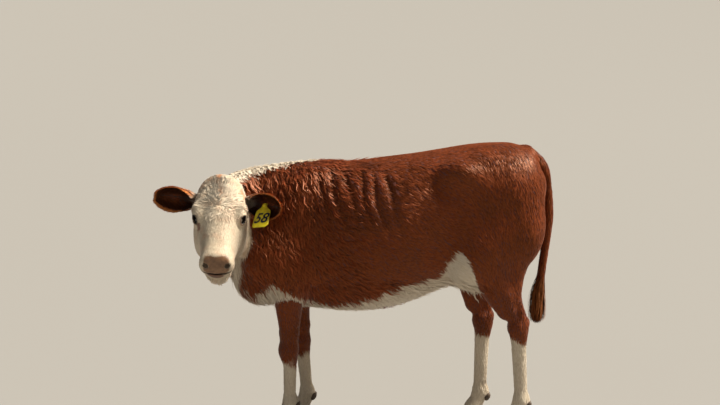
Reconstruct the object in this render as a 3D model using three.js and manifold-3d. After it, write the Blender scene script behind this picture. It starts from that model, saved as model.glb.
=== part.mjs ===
// A young polled cow with a red coat and a white face, standing still at life size.
// It faces -Y with its left side toward +X, and its head is turned to the left and a little lowered.
// The solids give the outside of the coat. The body is one smooth distance field, made of lofted
// sections, ellipsoids and tapered bones, and each part is a loft whose rings are cast onto it.
// Lengths are in millimetres, +Z is up and the soles stand on z = 0.
import * as THREE from "three";
import { mergeVertices } from "three/addons/utils/BufferGeometryUtils.js";
import Module from "manifold-3d";

const wasm = await Module();
wasm.setup();

// ------------------------------------------------------------------ driving dimensions
const GAP = 0.3;                   // clearance between parts that touch
const LEFT = 1;
const RIGHT = -1;

// Trunk sections along the back: y, top, bottom, half width, height of the widest point,
// and the roundness of the upper and the lower half (2 is an ellipse, more is squarer).
const TRUNK = [
  [-618, 830, 620, 80, 720, 2.0, 2.0],
  [-570, 920, 560, 125, 725, 2.0, 2.1],
  [-500, 1000, 530, 146, 735, 2.0, 2.2],
  [-400, 1044, 512, 176, 750, 2.0, 2.2],
  [-300, 1060, 500, 210, 765, 2.0, 2.2],
  [-200, 1072, 490, 238, 775, 2.1, 2.2],
  [-100, 1083, 490, 256, 780, 2.2, 2.2],
  [0, 1096, 502, 256, 795, 2.3, 2.2],
  [100, 1108, 532, 242, 840, 2.5, 2.2],
  [200, 1124, 575, 222, 900, 2.6, 2.2],
  [300, 1140, 632, 205, 955, 2.6, 2.2],
  [400, 1145, 700, 182, 965, 2.5, 2.2],
  [500, 1139, 770, 150, 985, 2.4, 2.2],
  [566, 1102, 850, 106, 995, 2.3, 2.2],
  [592, 1040, 900, 52, 980, 2.2, 2.2],
];

// Muscles and bony points on each side: centre, radii, tilt about X in degrees, blend, and the
// share of the leg's stance that a muscle follows.
const MASSES = [
  { name: "shoulder blade", at: [106, -362, 860], radii: [74, 115, 220], tilt: -28, blend: 70 },
  { name: "upper arm", at: [150, -420, 690], radii: [68, 125, 110], tilt: -10, blend: 60 },
  { name: "point of shoulder", at: [125, -520, 705], radii: [58, 62, 70], tilt: 0, blend: 60 },
  { name: "brisket", at: [38, -520, 608], radii: [74, 88, 86], tilt: 0, blend: 60 },
  { name: "hook bone", at: [184, 262, 1040], radii: [40, 66, 40], tilt: 0, blend: 60 },
  { name: "rump", at: [92, 420, 1000], radii: [98, 175, 118], tilt: 6, blend: 60 },
  { name: "pin bone", at: [88, 550, 972], radii: [46, 47, 66], tilt: 0, blend: 50 },
  { name: "round", at: [122, 470, 850], radii: [92, 138, 200], tilt: 4, blend: 60, follows: 0.12 },
  { name: "thigh", at: [150, 340, 760], radii: [72, 115, 150], tilt: -20, blend: 60, follows: 0.3 },
  { name: "udder", at: [45, 330, 620], radii: [60, 90, 55], tilt: 0, blend: 50 },
];
const MASS_BLEND = 70;             // how softly the masses join the trunk

// Neck sections from the chest to the back of the head: centre, half width, reach up and down.
const NECK = [
  [0, -250, 815, 146, 242, 250],
  [0, -380, 830, 130, 233, 250],
  [2, -470, 845, 104, 219, 235],
  [10, -550, 862, 90, 200, 200],
  [50, -622, 878, 84, 160, 165],
  [122, -656, 885, 80, 100, 130],
  [178, -664, 872, 70, 60, 105],
];
const NECK_BLEND = 80;

// Head: the poll's place, and how far the face is turned, lowered and tilted, in degrees.
const POLL = [146, -656, 1002];
const HEAD_TURN = 0.3;
const HEAD_DROP = 42;
const HEAD_TILT = -0.8;
// Head sections from the poll to the muzzle: distance, top, bottom, half width, height of the
// widest point, and the roundness of the upper and the lower half.
const HEAD = [
  [-28, -20, -90, 44, -55, 2.0, 2.0],
  [0, 7, -135, 80, -62, 2.2, 2.0],
  [45, 18, -165, 98, -70, 2.4, 2.0],
  [100, 16, -192, 104, -78, 2.6, 2.1],
  [155, 8, -206, 101, -88, 2.5, 2.2],
  [208, 0, -198, 88, -96, 2.2, 2.3],
  [258, -5, -176, 77, -92, 2.2, 2.3],
  [305, -8, -152, 70, -80, 2.3, 2.2],
  [350, -10, -140, 64, -74, 2.4, 2.2],
  [385, -20, -130, 56, -74, 2.3, 2.2],
  [408, -46, -104, 32, -75, 2.0, 2.0],
];
// Places on the head are given as (to its left, from poll to muzzle, out of the forehead).
const FEATURES = [
  { name: "poll", at: [0, 3, -26], radii: [66, 44, 50], blend: 40 },
  { name: "brow", at: [82, 138, -28], radii: [26, 42, 30], blend: 24 },
  { name: "cheek", at: [64, 178, -142], radii: [36, 76, 62], blend: 34 },
  { name: "muzzle", at: [0, 364, -56], radii: [58, 44, 42], blend: 26 },
  { name: "nostril wing", at: [38, 383, -58], radii: [25, 25, 34], blend: 18 },
  { name: "chin", at: [4, 356, -132], radii: [38, 46, 32], blend: 22 },
  { name: "lids", at: [78, 163, -42], radii: [24, 30, 25], blend: 14 },
];
const MOUTH = { at: [4, 402, -78], radii: [60, 60, 5], blend: 6 };
const NOSTRIL = { at: [42, 402, -42], radii: [11, 18, 9], blend: 6 };
const EYE = [76, 163, -41];
const EYE_RADIUS = 18.5;
const GAZE = [0.7, 0.46, 0.55];    // where the left eye looks, in the head's own directions
const LID_OPENING = [17, 11, 20];
const LID_FORWARD = 16;            // the opening's centre, ahead of the eyeball's
const LID_LEAN = -0.25;            // how far the lids' long way leans back over the cheek

// Feet: how far each is set back from its place under the body, and its distance from the middle.
const STANCE = {
  foreleg: { [LEFT]: -15, [RIGHT]: 45 },
  hindleg: { [LEFT]: 0, [RIGHT]: -150 },
};
const KNEE_CUT = 330;              // heights where the upper and lower leg part
const HOCK_CUT = 415;
const CLAW = { length: 98, width: 45, toe: 66, heel: 40, cleft: 5, back: 12 };
const CLAW_TAPER = { width: 0.14, length: 0.24, lean: 0.2, sole: 0.03 };
const CLAW_OUTER = 0.62;           // share of a claw's width that is on its outer side
const CLAW_BLUNT = 0.86;           // the heel's reach as a share of the toe's
const DEWCLAW = { radii: [10, 10, 17], tilt: -0.5, height: 122, spread: 17 };
const DEWCLAW_BACK = { foreleg: 60, hindleg: 64 };

// Ears: base and tip on the head, which way the cup faces, half widths and how far it curls.
const EARS = {
  left: { base: [84, 74, -46], tip: [236, 142, 4], face: [0.95, -0.1, -0.05] },
  right: { base: [-84, 60, -64], tip: [-257, 50, -32], face: [0.93, -0.12, -0.3] },
};
const EAR_WIDTH = [[0, 21], [0.12, 26], [0.3, 39], [0.5, 48], [0.7, 46], [0.88, 32], [0.97, 16], [1, 5]];
const EAR_CURL = [[0, 140], [0.2, 110], [0.45, 66], [0.8, 52], [1, 36]];
const EAR_THICKNESS = 7;

// Tail: centre line from the tail head down, as y, z and radius; it hangs behind the buttocks.
const TAIL = [
  [539, 1109, 17],
  [578, 1086, 18.5],
  [608, 1043, 18],
  [617, 984, 18],
  [623, 929, 18],
  [626, 854, 17.5],
  [617, 772, 16.5],
  [605, 689, 16],
  [596, 622, 17],
  [585, 563, 25],
  [581, 504, 28],
  [580, 455, 26],
  [581, 430, 12],
];
const SWITCH_TOP = 8;              // station of the tail where the switch begins

// Ear tag: a plastic panel that hangs from a button through the ear.
const TAG = { width: 66, shoulder: 60, height: 114, neck: 20, neckHeight: 35, chamfer: 12, thick: 2.4 };
const TAG_HOLE = 3.6;
const TAG_PLACE = { along: 0.53, across: 0.14 };
const TAG_SWING = 12;              // degrees the panel swings about its button, away from the cheek
const TAG_CLEAR = 12;              // room between the panel and the ear's rim
const TAG_STAND_OFF = 13;          // from the ear's inside to the panel's back
const BUTTON = { pin: 3.2, disc: 14, thick: 3, cap: 8, behind: 9, rise: 4 };

// ------------------------------------------------------------------ field
const clamp = THREE.MathUtils.clamp;
const radians = THREE.MathUtils.degToRad;

function blend(a, b, soft) {
  const h = Math.max(soft - Math.abs(a - b), 0) / soft;
  return Math.min(a, b) - (h * h * soft) / 4;
}

function carve(a, b, soft) {
  return -blend(-a, b, soft);
}

// A smooth curve through one column of a table whose first column is `at`'s own scale.
function through(rows, at, column, scale = 0) {
  const last = rows.length - 1;
  const place = (i) => (scale === null ? i : rows[i][scale]);
  const x = clamp(at, place(0), place(last));
  let i = 0;
  while (i < last - 1 && x > place(i + 1)) i += 1;
  const slope = (k) => {
    const a = Math.max(k - 1, 0);
    const b = Math.min(k + 1, last);
    if (a === k || b === k) return (rows[b][column] - rows[a][column]) / (place(b) - place(a));
    const before = place(k) - place(a);
    const after = place(b) - place(k);
    const left = (rows[k][column] - rows[a][column]) / before;
    const right = (rows[b][column] - rows[k][column]) / after;
    return (left * after + right * before) / (before + after);
  };
  const h = place(i + 1) - place(i);
  const t = (x - place(i)) / h;
  const t2 = t * t;
  const t3 = t2 * t;
  return (2 * t3 - 3 * t2 + 1) * rows[i][column] + (t3 - 2 * t2 + t) * h * slope(i)
    + (3 * t2 - 2 * t3) * rows[i + 1][column] + (t3 - t2) * h * slope(i + 1);
}

function ellipsoid(x, y, z, [rx, ry, rz]) {
  const near = Math.hypot(x / rx, y / ry, z / rz);
  const far = Math.hypot(x / (rx * rx), y / (ry * ry), z / (rz * rz));
  return (near * (near - 1)) / Math.max(far, 1e-9);
}

function mass(p, { at, radii, tilt = 0 }) {
  const c = Math.cos(radians(tilt));
  const s = Math.sin(radians(tilt));
  const y = p.y - at[1];
  const z = p.z - at[2];
  return ellipsoid(p.x - at[0], c * y + s * z, c * z - s * y, radii);
}

// A tapered rod from a to b; `wide` below 1 flattens it from side to side.
function bone(p, a, b, ra, rb, wide = 1) {
  const d = [b[0] - a[0], b[1] - a[1], b[2] - a[2]];
  const q = [p.x - a[0], p.y - a[1], p.z - a[2]];
  const length2 = d[0] * d[0] + d[1] * d[1] + d[2] * d[2];
  const t = clamp((q[0] * d[0] + q[1] * d[1] + q[2] * d[2]) / length2, 0, 1);
  const off = Math.hypot((q[0] - t * d[0]) / wide, q[1] - t * d[1], q[2] - t * d[2]);
  return off - (ra + t * (rb - ra));
}

// Distance to a section that is `half` wide and reaches `top` and `low` from its widest point.
function section(across, rise, half, top, low, roundTop, roundLow) {
  const reach = rise > 0 ? top : low;
  const power = rise > 0 ? roundTop : roundLow;
  const u = Math.abs(across) / Math.max(half, 1e-3);
  const v = Math.abs(rise) / Math.max(reach, 1e-3);
  const value = Math.max((u ** power + v ** power) ** (1 / power), 1e-6);
  return Math.hypot(across, rise) * (1 - 1 / value);
}

const BLUNT = 0.2;                 // how pointed a loft's ends are: 1 is a cone, 0 is flat

// The field past the end of a form: `over` is how far past, and `point` how pointed the end is.
function capped(distance, over, point = 1) {
  if (over <= 0) return distance;
  return Math.hypot(Math.max(distance, 0), over) + point * Math.min(distance, 0);
}

function loft(rows, along, across, rise) {
  const [top, low, half, middle, roundTop, roundLow] = [1, 2, 3, 4, 5, 6]
    .map((column) => through(rows, along, column));
  const distance = section(across, rise - middle, half, top - middle, middle - low, roundTop, roundLow);
  const over = Math.max(rows[0][0] - along, along - rows[rows.length - 1][0]);
  return capped(distance, over, BLUNT);
}

const neckSteps = Array.from({ length: 61 }, (_, i) => {
  const t = (i / 60) * (NECK.length - 1);
  const value = (column, at = t) => through(NECK, at, column, null);
  const centre = new THREE.Vector3(value(0), value(1), value(2));
  const ahead = Math.min(t + 0.02, NECK.length - 1);
  const behind = Math.max(t - 0.02, 0);
  const forward = new THREE.Vector3(
    value(0, ahead) - value(0, behind),
    value(1, ahead) - value(1, behind),
    value(2, ahead) - value(2, behind),
  ).normalize();
  const side = new THREE.Vector3().crossVectors(forward, new THREE.Vector3(0, 0, 1)).normalize();
  const up = new THREE.Vector3().crossVectors(side, forward);
  return { centre, forward, side, up, half: value(3), top: value(4), low: value(5) };
});

function neckField(p) {
  let best = neckSteps[0];
  let nearest = Infinity;
  for (const step of neckSteps) {
    const d = p.distanceToSquared(step.centre);
    if (d < nearest) {
      nearest = d;
      best = step;
    }
  }
  const q = p.clone().sub(best.centre);
  const past = q.dot(best.forward);
  const d = section(q.dot(best.side), q.dot(best.up), best.half, best.top, best.low, 2, 2);
  const atEnd = (best === neckSteps[0] && past < 0) || (best === neckSteps[60] && past > 0);
  return capped(d, atEnd ? Math.abs(past) : 0);
}

const MIDLINE = 60;                // over this far from the middle the two thighs pass into each other

function trunkField(p) {
  const toLeft = THREE.MathUtils.smoothstep(p.x, -MIDLINE, MIDLINE);
  const stance = THREE.MathUtils.lerp(STANCE.hindleg[RIGHT], STANCE.hindleg[LEFT], toLeft);
  let masses = Infinity;
  for (const m of MASSES) {
    const d = mass(new THREE.Vector3(Math.abs(p.x), p.y - stance * (m.follows ?? 0), p.z), m);
    masses = masses === Infinity ? d : blend(masses, d, m.blend);
  }
  return blend(loft(TRUNK, p.y, p.x, p.z), masses, MASS_BLEND);
}

function bodyField(p) {
  return blend(trunkField(p), neckField(p), NECK_BLEND);
}

// The head's own directions: its left, poll to muzzle, and out of the forehead.
const headSide = new THREE.Vector3(Math.sin(radians(HEAD_TURN)), Math.cos(radians(HEAD_TURN)), 0);
const headAlong = new THREE.Vector3(
  Math.cos(radians(HEAD_DROP)) * Math.cos(radians(HEAD_TURN)),
  -Math.cos(radians(HEAD_DROP)) * Math.sin(radians(HEAD_TURN)),
  -Math.sin(radians(HEAD_DROP)),
);
const headOut = new THREE.Vector3().crossVectors(headAlong, headSide);
for (const direction of [headSide, headAlong, headOut]) {
  direction.applyAxisAngle(new THREE.Vector3(1, 0, 0), radians(HEAD_TILT));
}
const headTurn = new THREE.Matrix4().makeBasis(headSide, headAlong, headOut);
const headPlace = headTurn.clone().setPosition(...POLL);

function onHead(at) {
  return new THREE.Vector3(...at).applyMatrix4(headPlace);
}

// The head's three directions are a left-handed set, so a geometry placed by them is turned back.
function placedOnHead(geometry) {
  return facingOut(geometry.applyMatrix4(headPlace));
}

function headField(p) {
  const paired = new THREE.Vector3(Math.abs(p.x), p.y, p.z);
  let d = loft(HEAD, p.y, p.x, p.z);
  for (const feature of FEATURES) {
    const where = feature.name === "chin" ? p : paired;
    d = blend(d, mass(where, feature), feature.blend);
  }
  d = carve(d, mass(p, MOUTH), MOUTH.blend);
  return carve(d, mass(paired, NOSTRIL), NOSTRIL.blend);
}

// ------------------------------------------------------------------ legs
function forelegField(p, side) {
  const back = STANCE.foreleg[side];
  const at = (x, y, z, share) => [side * x, y + share * back, z];
  let d = bone(p, at(140, -395, 640, 0.1), at(128, -385, 420, 0.6), 76, 40, 0.86);
  d = blend(d, bone(p, at(128, -385, 400, 0.65), at(126, -385, 350, 0.7), 37, 38, 0.95), 20);
  d = blend(d, mass(p, { at: at(126, -388, 335, 0.72), radii: [40, 38, 46] }), 18);
  d = blend(d, bone(p, at(125, -380, 300, 0.75), at(122, -378, 165, 1), 28, 25, 0.86), 22);
  d = blend(d, mass(p, { at: at(122, -374, 136, 1), radii: [33, 34, 34] }), 18);
  return blend(d, bone(p, at(122, -382, 112, 1), at(121, -402, 78, 1), 29, 36, 1.05), 14);
}

function hindlegField(p, side) {
  const back = STANCE.hindleg[side];
  const at = (x, y, z, share) => [side * x, y + share * back, z];
  let d = bone(p, at(140, 350, 720, 0.2), at(122, 455, 500, 0.75), 98, 44, 0.78);
  d = blend(d, mass(p, { at: at(160, 285, 680, 0.35), radii: [52, 62, 80] }), 40);
  d = blend(d, bone(p, at(118, 484, 645, 0.6), at(114, 490, 545, 0.75), 42, 21, 0.9), 34);
  d = blend(d, bone(p, at(114, 490, 545, 0.75), at(113, 522, 452, 0.85), 21, 19, 0.9), 14);
  d = blend(d, mass(p, { at: at(112, 498, 425, 0.85), radii: [36, 42, 52], tilt: 18 }), 22);
  d = blend(d, bone(p, at(112, 524, 448, 0.85), at(111, 512, 385, 0.88), 20, 18), 14);
  d = blend(d, bone(p, at(111, 502, 375, 0.88), at(110, 512, 172, 1), 31, 27, 0.82), 22);
  d = blend(d, mass(p, { at: at(110, 514, 142, 1), radii: [33, 36, 35] }), 18);
  return blend(d, bone(p, at(110, 504, 116, 1), at(109, 484, 80, 1), 30, 37, 1.05), 14);
}

// Leg axes from the top down: height, x, y, share of the stance's shift, share of the full girth.
const FORE_AXIS = [
  [50, 121, -408, 1, 1], [62, 121, -408, 1, 1], [76, 121, -403, 1, 1], [92, 121.5, -394, 1, 1],
  [108, 122, -384, 1, 1], [122, 122, -378, 1, 1], [138, 122, -375, 1, 1], [156, 122, -377, 1, 1],
  [180, 122, -378, 0.97, 1], [220, 123, -379, 0.9, 1], [262, 124, -380, 0.82, 1],
  [296, 125, -382, 0.76, 1], [314, 126, -386, 0.74, 1], [KNEE_CUT, 126, -387, 0.72, 1],
  [352, 126, -387, 0.7, 1], [376, 127, -386, 0.67, 1], [410, 128, -385, 0.62, 1],
  [450, 130, -386, 0.53, 1], [490, 132, -388, 0.44, 1], [530, 134, -390, 0.35, 0.95],
  [570, 136, -391, 0.26, 0.8], [610, 138, -392, 0.17, 0.5],
];
const HIND_AXIS = [
  [50, 109, 476, 1, 1], [62, 109, 478, 1, 1], [76, 109, 483, 1, 1], [92, 109.5, 492, 1, 1],
  [110, 110, 501, 1, 1], [126, 110, 509, 1, 1], [144, 110, 513, 1, 1], [162, 110, 513, 1, 1],
  [190, 110, 512, 0.99, 1], [240, 110, 510, 0.96, 1], [300, 110, 506, 0.93, 1],
  [345, 111, 504, 0.9, 1], [378, 111, 503, 0.88, 1], [398, 112, 501, 0.87, 1],
  [HOCK_CUT, 112, 500, 0.86, 1], [434, 112, 499, 0.85, 1], [456, 114, 496, 0.83, 1],
  [482, 116, 487, 0.79, 1], [515, 119, 474, 0.74, 1], [550, 122, 460, 0.66, 1],
  [590, 127, 436, 0.56, 0.98], [630, 132, 412, 0.46, 0.86], [670, 136, 390, 0.35, 0.6],
];

// ------------------------------------------------------------------ lofts
function cast(field, from, direction, reach, level) {
  let inside = 0;
  let outside = reach;
  const stride = 6;
  for (let t = stride; t <= reach; t += stride) {
    if (field(from.clone().addScaledVector(direction, t)) > level) {
      outside = t;
      break;
    }
    inside = t;
  }
  for (let i = 0; i < 16; i += 1) {
    const middle = (inside + outside) / 2;
    if (field(from.clone().addScaledVector(direction, middle)) > level) outside = middle;
    else inside = middle;
  }
  return inside;
}

function castRing(field, { centre, across, up, girth = 1 }, count, reach, level = 0) {
  return Array.from({ length: count }, (_, i) => {
    const turn = ((i + 0.5) / count) * 2 * Math.PI;
    const direction = across.clone().multiplyScalar(Math.cos(turn))
      .addScaledVector(up, Math.sin(turn));
    const distance = cast(field, centre, direction, reach, level) * girth;
    return centre.clone().addScaledVector(direction, distance);
  });
}

function middleOf(ring) {
  const sum = ring.reduce((total, p) => total.add(p), new THREE.Vector3());
  return sum.divideScalar(ring.length);
}

// One closed body from rings of equal length; the ends close on the points given or flat.
function lofted(rings, first = middleOf(rings[0]), last = middleOf(rings[rings.length - 1])) {
  const count = rings[0].length;
  const points = rings.flat().concat([first, last]);
  const start = points.length - 2;
  const end = points.length - 1;
  const index = [];
  for (let r = 0; r < rings.length - 1; r += 1) {
    for (let i = 0; i < count; i += 1) {
      const a = r * count + i;
      const b = r * count + ((i + 1) % count);
      const [c, d] = [a + count, b + count];
      if (points[a].distanceTo(points[d]) < points[b].distanceTo(points[c])) {
        index.push(a, b, d, a, d, c);
      } else {
        index.push(a, b, c, b, d, c);
      }
    }
  }
  const top = (rings.length - 1) * count;
  for (let i = 0; i < count; i += 1) {
    const next = (i + 1) % count;
    index.push(start, next, i, end, top + i, top + next);
  }
  const geometry = new THREE.BufferGeometry().setFromPoints(points);
  geometry.setIndex(index);
  return facingOut(geometry);
}

function volumeOf(geometry) {
  const position = geometry.getAttribute("position");
  const index = geometry.getIndex();
  const [a, b, c] = [new THREE.Vector3(), new THREE.Vector3(), new THREE.Vector3()];
  let sum = 0;
  for (let i = 0; i < index.count; i += 3) {
    a.fromBufferAttribute(position, index.getX(i));
    b.fromBufferAttribute(position, index.getX(i + 1));
    c.fromBufferAttribute(position, index.getX(i + 2));
    sum += a.dot(b.cross(c)) / 6;
  }
  return sum;
}

function facingOut(geometry) {
  if (volumeOf(geometry) < 0) geometry.setIndex(Array.from(geometry.getIndex().array).reverse());
  return geometry;
}

// ------------------------------------------------------------------ cutting
function solidOf(geometry) {
  const plain = geometry.clone();
  plain.deleteAttribute("normal");
  plain.deleteAttribute("uv");
  const merged = mergeVertices(plain, 1e-4);
  return new wasm.Manifold(new wasm.Mesh({
    numProp: 3,
    vertProperties: new Float32Array(merged.getAttribute("position").array),
    triVerts: new Uint32Array(merged.getIndex().array),
  }));
}

function geometryOf(solid) {
  const mesh = solid.getMesh();
  const geometry = new THREE.BufferGeometry();
  geometry.setAttribute("position", new THREE.BufferAttribute(mesh.vertProperties, 3));
  geometry.setIndex(new THREE.BufferAttribute(mesh.triVerts, 1));
  return geometry;
}

function cut(geometry, ...tools) {
  let solid = solidOf(geometry);
  for (const tool of tools) solid = solid.subtract(solidOf(tool));
  return geometryOf(solid);
}

// ------------------------------------------------------------------ trunk and neck
const acrossBody = new THREE.Vector3(1, 0, 0);

// A ring's plane faces `turn` degrees to the left of straight ahead and `rise` degrees up.
function facingRing(centre, turn, rise) {
  const side = new THREE.Vector3(Math.cos(radians(turn)), Math.sin(radians(turn)), 0);
  const forward = new THREE.Vector3(
    Math.sin(radians(turn)) * Math.cos(radians(rise)),
    -Math.cos(radians(turn)) * Math.cos(radians(rise)),
    Math.sin(radians(rise)),
  );
  const up = new THREE.Vector3().crossVectors(forward, side);
  return { centre: new THREE.Vector3(...centre), across: side, up };
}

const BACK_STATIONS = [
  597, 585, 566, 540, 505, 465, 425, 385, 345, 305, 265, 225, 180, 130, 75, 20, -35, -90, -145, -195,
];
const CHEST_RINGS = [
  facingRing([0, -262, 800], 0, 8),
  facingRing([0, -330, 812], 0, 16),
  facingRing([0, -398, 828], 0, 25),
];
const NECK_ROOT = facingRing([2, -464, 848], 0, 34);
const NECK_RINGS = [
  facingRing([5, -522, 864], 3, 30),
  facingRing([13, -563, 872], 12, 25),
  facingRing([30, -598, 877], 26, 19),
  facingRing([60, -626, 880], 42, 13),
  facingRing([98, -644, 882], 58, 8),
  { ...facingRing([138, -654, 885], 72, 3), girth: 0.5 },
];
const TRUNK_SIDES = 28;
const BODY_REACH = 460;
const NECK_REACH = 330;

function shifted(ring, by) {
  const forward = new THREE.Vector3().crossVectors(ring.across, ring.up).multiplyScalar(by);
  return { ...ring, centre: ring.centre.clone().add(forward) };
}

function backRing(y) {
  const centre = new THREE.Vector3(0, y, through(TRUNK, y, 4));
  return { centre, across: acrossBody, up: new THREE.Vector3(0, 0, 1) };
}

function trunkGeometry(level = 0) {
  const rings = [...BACK_STATIONS.map(backRing), ...CHEST_RINGS, shifted(NECK_ROOT, -GAP)];
  const skins = rings.map((ring) => castRing(bodyField, ring, TRUNK_SIDES, BODY_REACH, level));
  const from = rings[0].centre;
  const rear = new THREE.Vector3(0, 1, 0);
  const rump = from.clone().addScaledVector(rear, cast(bodyField, from, rear, 90, level));
  return lofted(skins, rump);
}

function neckGeometry() {
  const rings = [shifted(NECK_ROOT, GAP), ...NECK_RINGS];
  return lofted(rings.map((ring) => castRing(bodyField, ring, TRUNK_SIDES, NECK_REACH)));
}

// ------------------------------------------------------------------ head
const HEAD_STATIONS = [
  -36, -22, -4, 20, 44, 68, 92, 114, 132, 146, 158, 170, 182, 196, 214, 236, 260, 284, 306, 326,
  344, 360, 374, 386, 396, 404,
];
const HEAD_SIDES = 26;
const HEAD_REACH = 240;

function headGeometry(level = 0) {
  const rings = HEAD_STATIONS.map((along) => {
    const centre = new THREE.Vector3(0, along, through(HEAD, along, 4));
    const ring = { centre, across: new THREE.Vector3(1, 0, 0), up: new THREE.Vector3(0, 0, 1) };
    return castRing(headField, ring, HEAD_SIDES, HEAD_REACH, level);
  });
  const ends = [[HEAD_STATIONS[0], -1], [HEAD_STATIONS[HEAD_STATIONS.length - 1], 1]].map(([y, way]) => {
    const from = new THREE.Vector3(0, y, through(HEAD, y, 4));
    const direction = new THREE.Vector3(0, way, 0);
    return from.addScaledVector(direction, cast(headField, from, direction, 80, level));
  });
  return placedOnHead(lofted(rings, ...ends));
}

function eyeGeometry(radius = EYE_RADIUS) {
  return new THREE.SphereGeometry(radius, 12, 8);
}

function eyePlace(side) {
  return onHead([side * EYE[0], EYE[1], EYE[2]]);
}

// The almond between the lids, and the socket behind it.
function lidOpening(side) {
  const gaze = new THREE.Vector3(side * GAZE[0], GAZE[1], GAZE[2]).normalize();
  const slit = new THREE.Vector3(0, 1, LID_LEAN);
  slit.addScaledVector(gaze, -slit.dot(gaze)).normalize();
  const lift = new THREE.Vector3().crossVectors(gaze, slit);
  const turn = new THREE.Matrix4().makeBasis(slit, lift, gaze);
  const at = new THREE.Vector3(side * EYE[0], EYE[1], EYE[2]).addScaledVector(gaze, LID_FORWARD);
  const almond = new THREE.SphereGeometry(1, 10, 6).scale(...LID_OPENING).applyMatrix4(turn);
  return placedOnHead(almond.translate(...at.toArray()));
}

function socket(side) {
  return eyeGeometry(EYE_RADIUS + GAP).translate(...eyePlace(side).toArray());
}

// ------------------------------------------------------------------ ears and tag
function earFrame(name) {
  const { base, tip, face } = EARS[name];
  const from = onHead(base);
  const along = onHead(tip).sub(from);
  const length = along.length();
  along.normalize();
  const front = new THREE.Vector3(...face);
  front.addScaledVector(along, -front.dot(along)).normalize();
  return { from, length, along, front, across: new THREE.Vector3().crossVectors(along, front) };
}

// A point of the ear's cup: s runs from base to tip, u from rim to rim, out from the inside.
function onEar(frame, s, u, out = 0) {
  const width = through(EAR_WIDTH, s, 1);
  const curl = radians(through(EAR_CURL, s, 1));
  const radius = width / Math.sin(Math.min(curl, Math.PI / 2));
  const depth = (radius + out) * Math.cos(curl * u) - radius * Math.cos(curl);
  return frame.from.clone()
    .addScaledVector(frame.along, s * frame.length)
    .addScaledVector(frame.across, (radius + out) * Math.sin(curl * u))
    .addScaledVector(frame.front, -depth);
}

const EAR_STATIONS = [0, 0.14, 0.28, 0.42, 0.56, 0.7, 0.82, 0.92, 0.97, 1];
const EAR_SIDES = 8;

function earGeometry(name) {
  const frame = earFrame(name);
  const rings = EAR_STATIONS.map((s) => {
    const across = Array.from({ length: EAR_SIDES }, (_, i) => (2 * i) / (EAR_SIDES - 1) - 1);
    const inside = across.map((u) => onEar(frame, s, u));
    const outside = across.map((u) => onEar(frame, s, u, EAR_THICKNESS)).reverse();
    return [...inside, ...outside];
  });
  return lofted(rings);
}

function along(direction, at, geometry) {
  const turn = new THREE.Quaternion().setFromUnitVectors(new THREE.Vector3(0, 1, 0), direction);
  return geometry.applyQuaternion(turn).translate(...at.toArray());
}

function tagFrame() {
  const ear = earFrame("left");
  const { along: s, across: u } = TAG_PLACE;
  const pin = onEar(ear, s, u);
  const rim = onEar(ear, s, 1).addScaledVector(ear.front, TAG.thick + TAG_CLEAR);
  const down = rim.sub(pin);
  down.addScaledVector(ear.along, -down.dot(ear.along)).normalize();
  const out = new THREE.Vector3().crossVectors(down, ear.along).normalize();
  if (out.dot(ear.front) < 0) out.negate();
  down.applyAxisAngle(out, radians(TAG_SWING));
  return { pin, down, out, side: new THREE.Vector3().crossVectors(out, down) };
}

function tagOutline() {
  const { width, shoulder, height, neck, neckHeight, chamfer } = TAG;
  const top = neck * 0.4;
  const shape = new THREE.Shape();
  shape.moveTo(-neck / 2, top);
  shape.lineTo(neck / 2, top);
  shape.lineTo(neck / 2 + 2, top - neckHeight * 0.6);
  shape.lineTo(shoulder / 2, top - neckHeight);
  shape.lineTo(width / 2, top - height + chamfer);
  shape.lineTo(width / 2 - chamfer, top - height);
  shape.lineTo(-width / 2 + chamfer / 2, top - height);
  shape.lineTo(-width / 2, top - height + chamfer / 2);
  shape.lineTo(-shoulder / 2, top - neckHeight);
  shape.lineTo(-neck / 2 - 2, top - neckHeight * 0.6);
  shape.closePath();
  const round = Array.from({ length: 12 }, (_, i) => (i / 12) * 2 * Math.PI);
  const edge = round.map((turn) => new THREE.Vector2(Math.cos(turn), Math.sin(turn)));
  shape.holes.push(new THREE.Path(edge.map((point) => point.multiplyScalar(TAG_HOLE))));
  return shape;
}

function tagGeometry() {
  const { pin, down, out, side } = tagFrame();
  const panel = new THREE.ExtrudeGeometry(tagOutline(), {
    depth: TAG.thick,
    bevelEnabled: false,
  });
  const up = down.clone().negate();
  const turn = new THREE.Matrix4().makeBasis(side, up, out);
  const at = pin.clone().addScaledVector(out, TAG_STAND_OFF);
  return panel.applyMatrix4(turn.setPosition(...at.toArray()));
}

function buttonGeometry() {
  const { pin, out } = tagFrame();
  const behind = -(EAR_THICKNESS + BUTTON.behind);
  const front = TAG_STAND_OFF + TAG.thick + GAP;
  const profile = [
    [0, behind - BUTTON.thick],
    [BUTTON.disc, behind - BUTTON.thick],
    [BUTTON.disc, behind],
    [BUTTON.pin, behind],
    [BUTTON.pin, front],
    [BUTTON.cap, front],
    [BUTTON.cap - 2, front + BUTTON.rise - 1],
    [0, front + BUTTON.rise],
  ].map(([r, y]) => new THREE.Vector2(r, y));
  return along(out, pin, facingOut(mergeVertices(bare(new THREE.LatheGeometry(profile, 14)))));
}

function earHole() {
  const { pin, out } = tagFrame();
  return along(out, pin, new THREE.CylinderGeometry(BUTTON.pin + GAP, BUTTON.pin + GAP, 60, 14));
}

function bare(geometry) {
  geometry.deleteAttribute("normal");
  geometry.deleteAttribute("uv");
  return geometry;
}

// ------------------------------------------------------------------ legs, claws and tail
const LEG_SIDES = 12;

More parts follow.
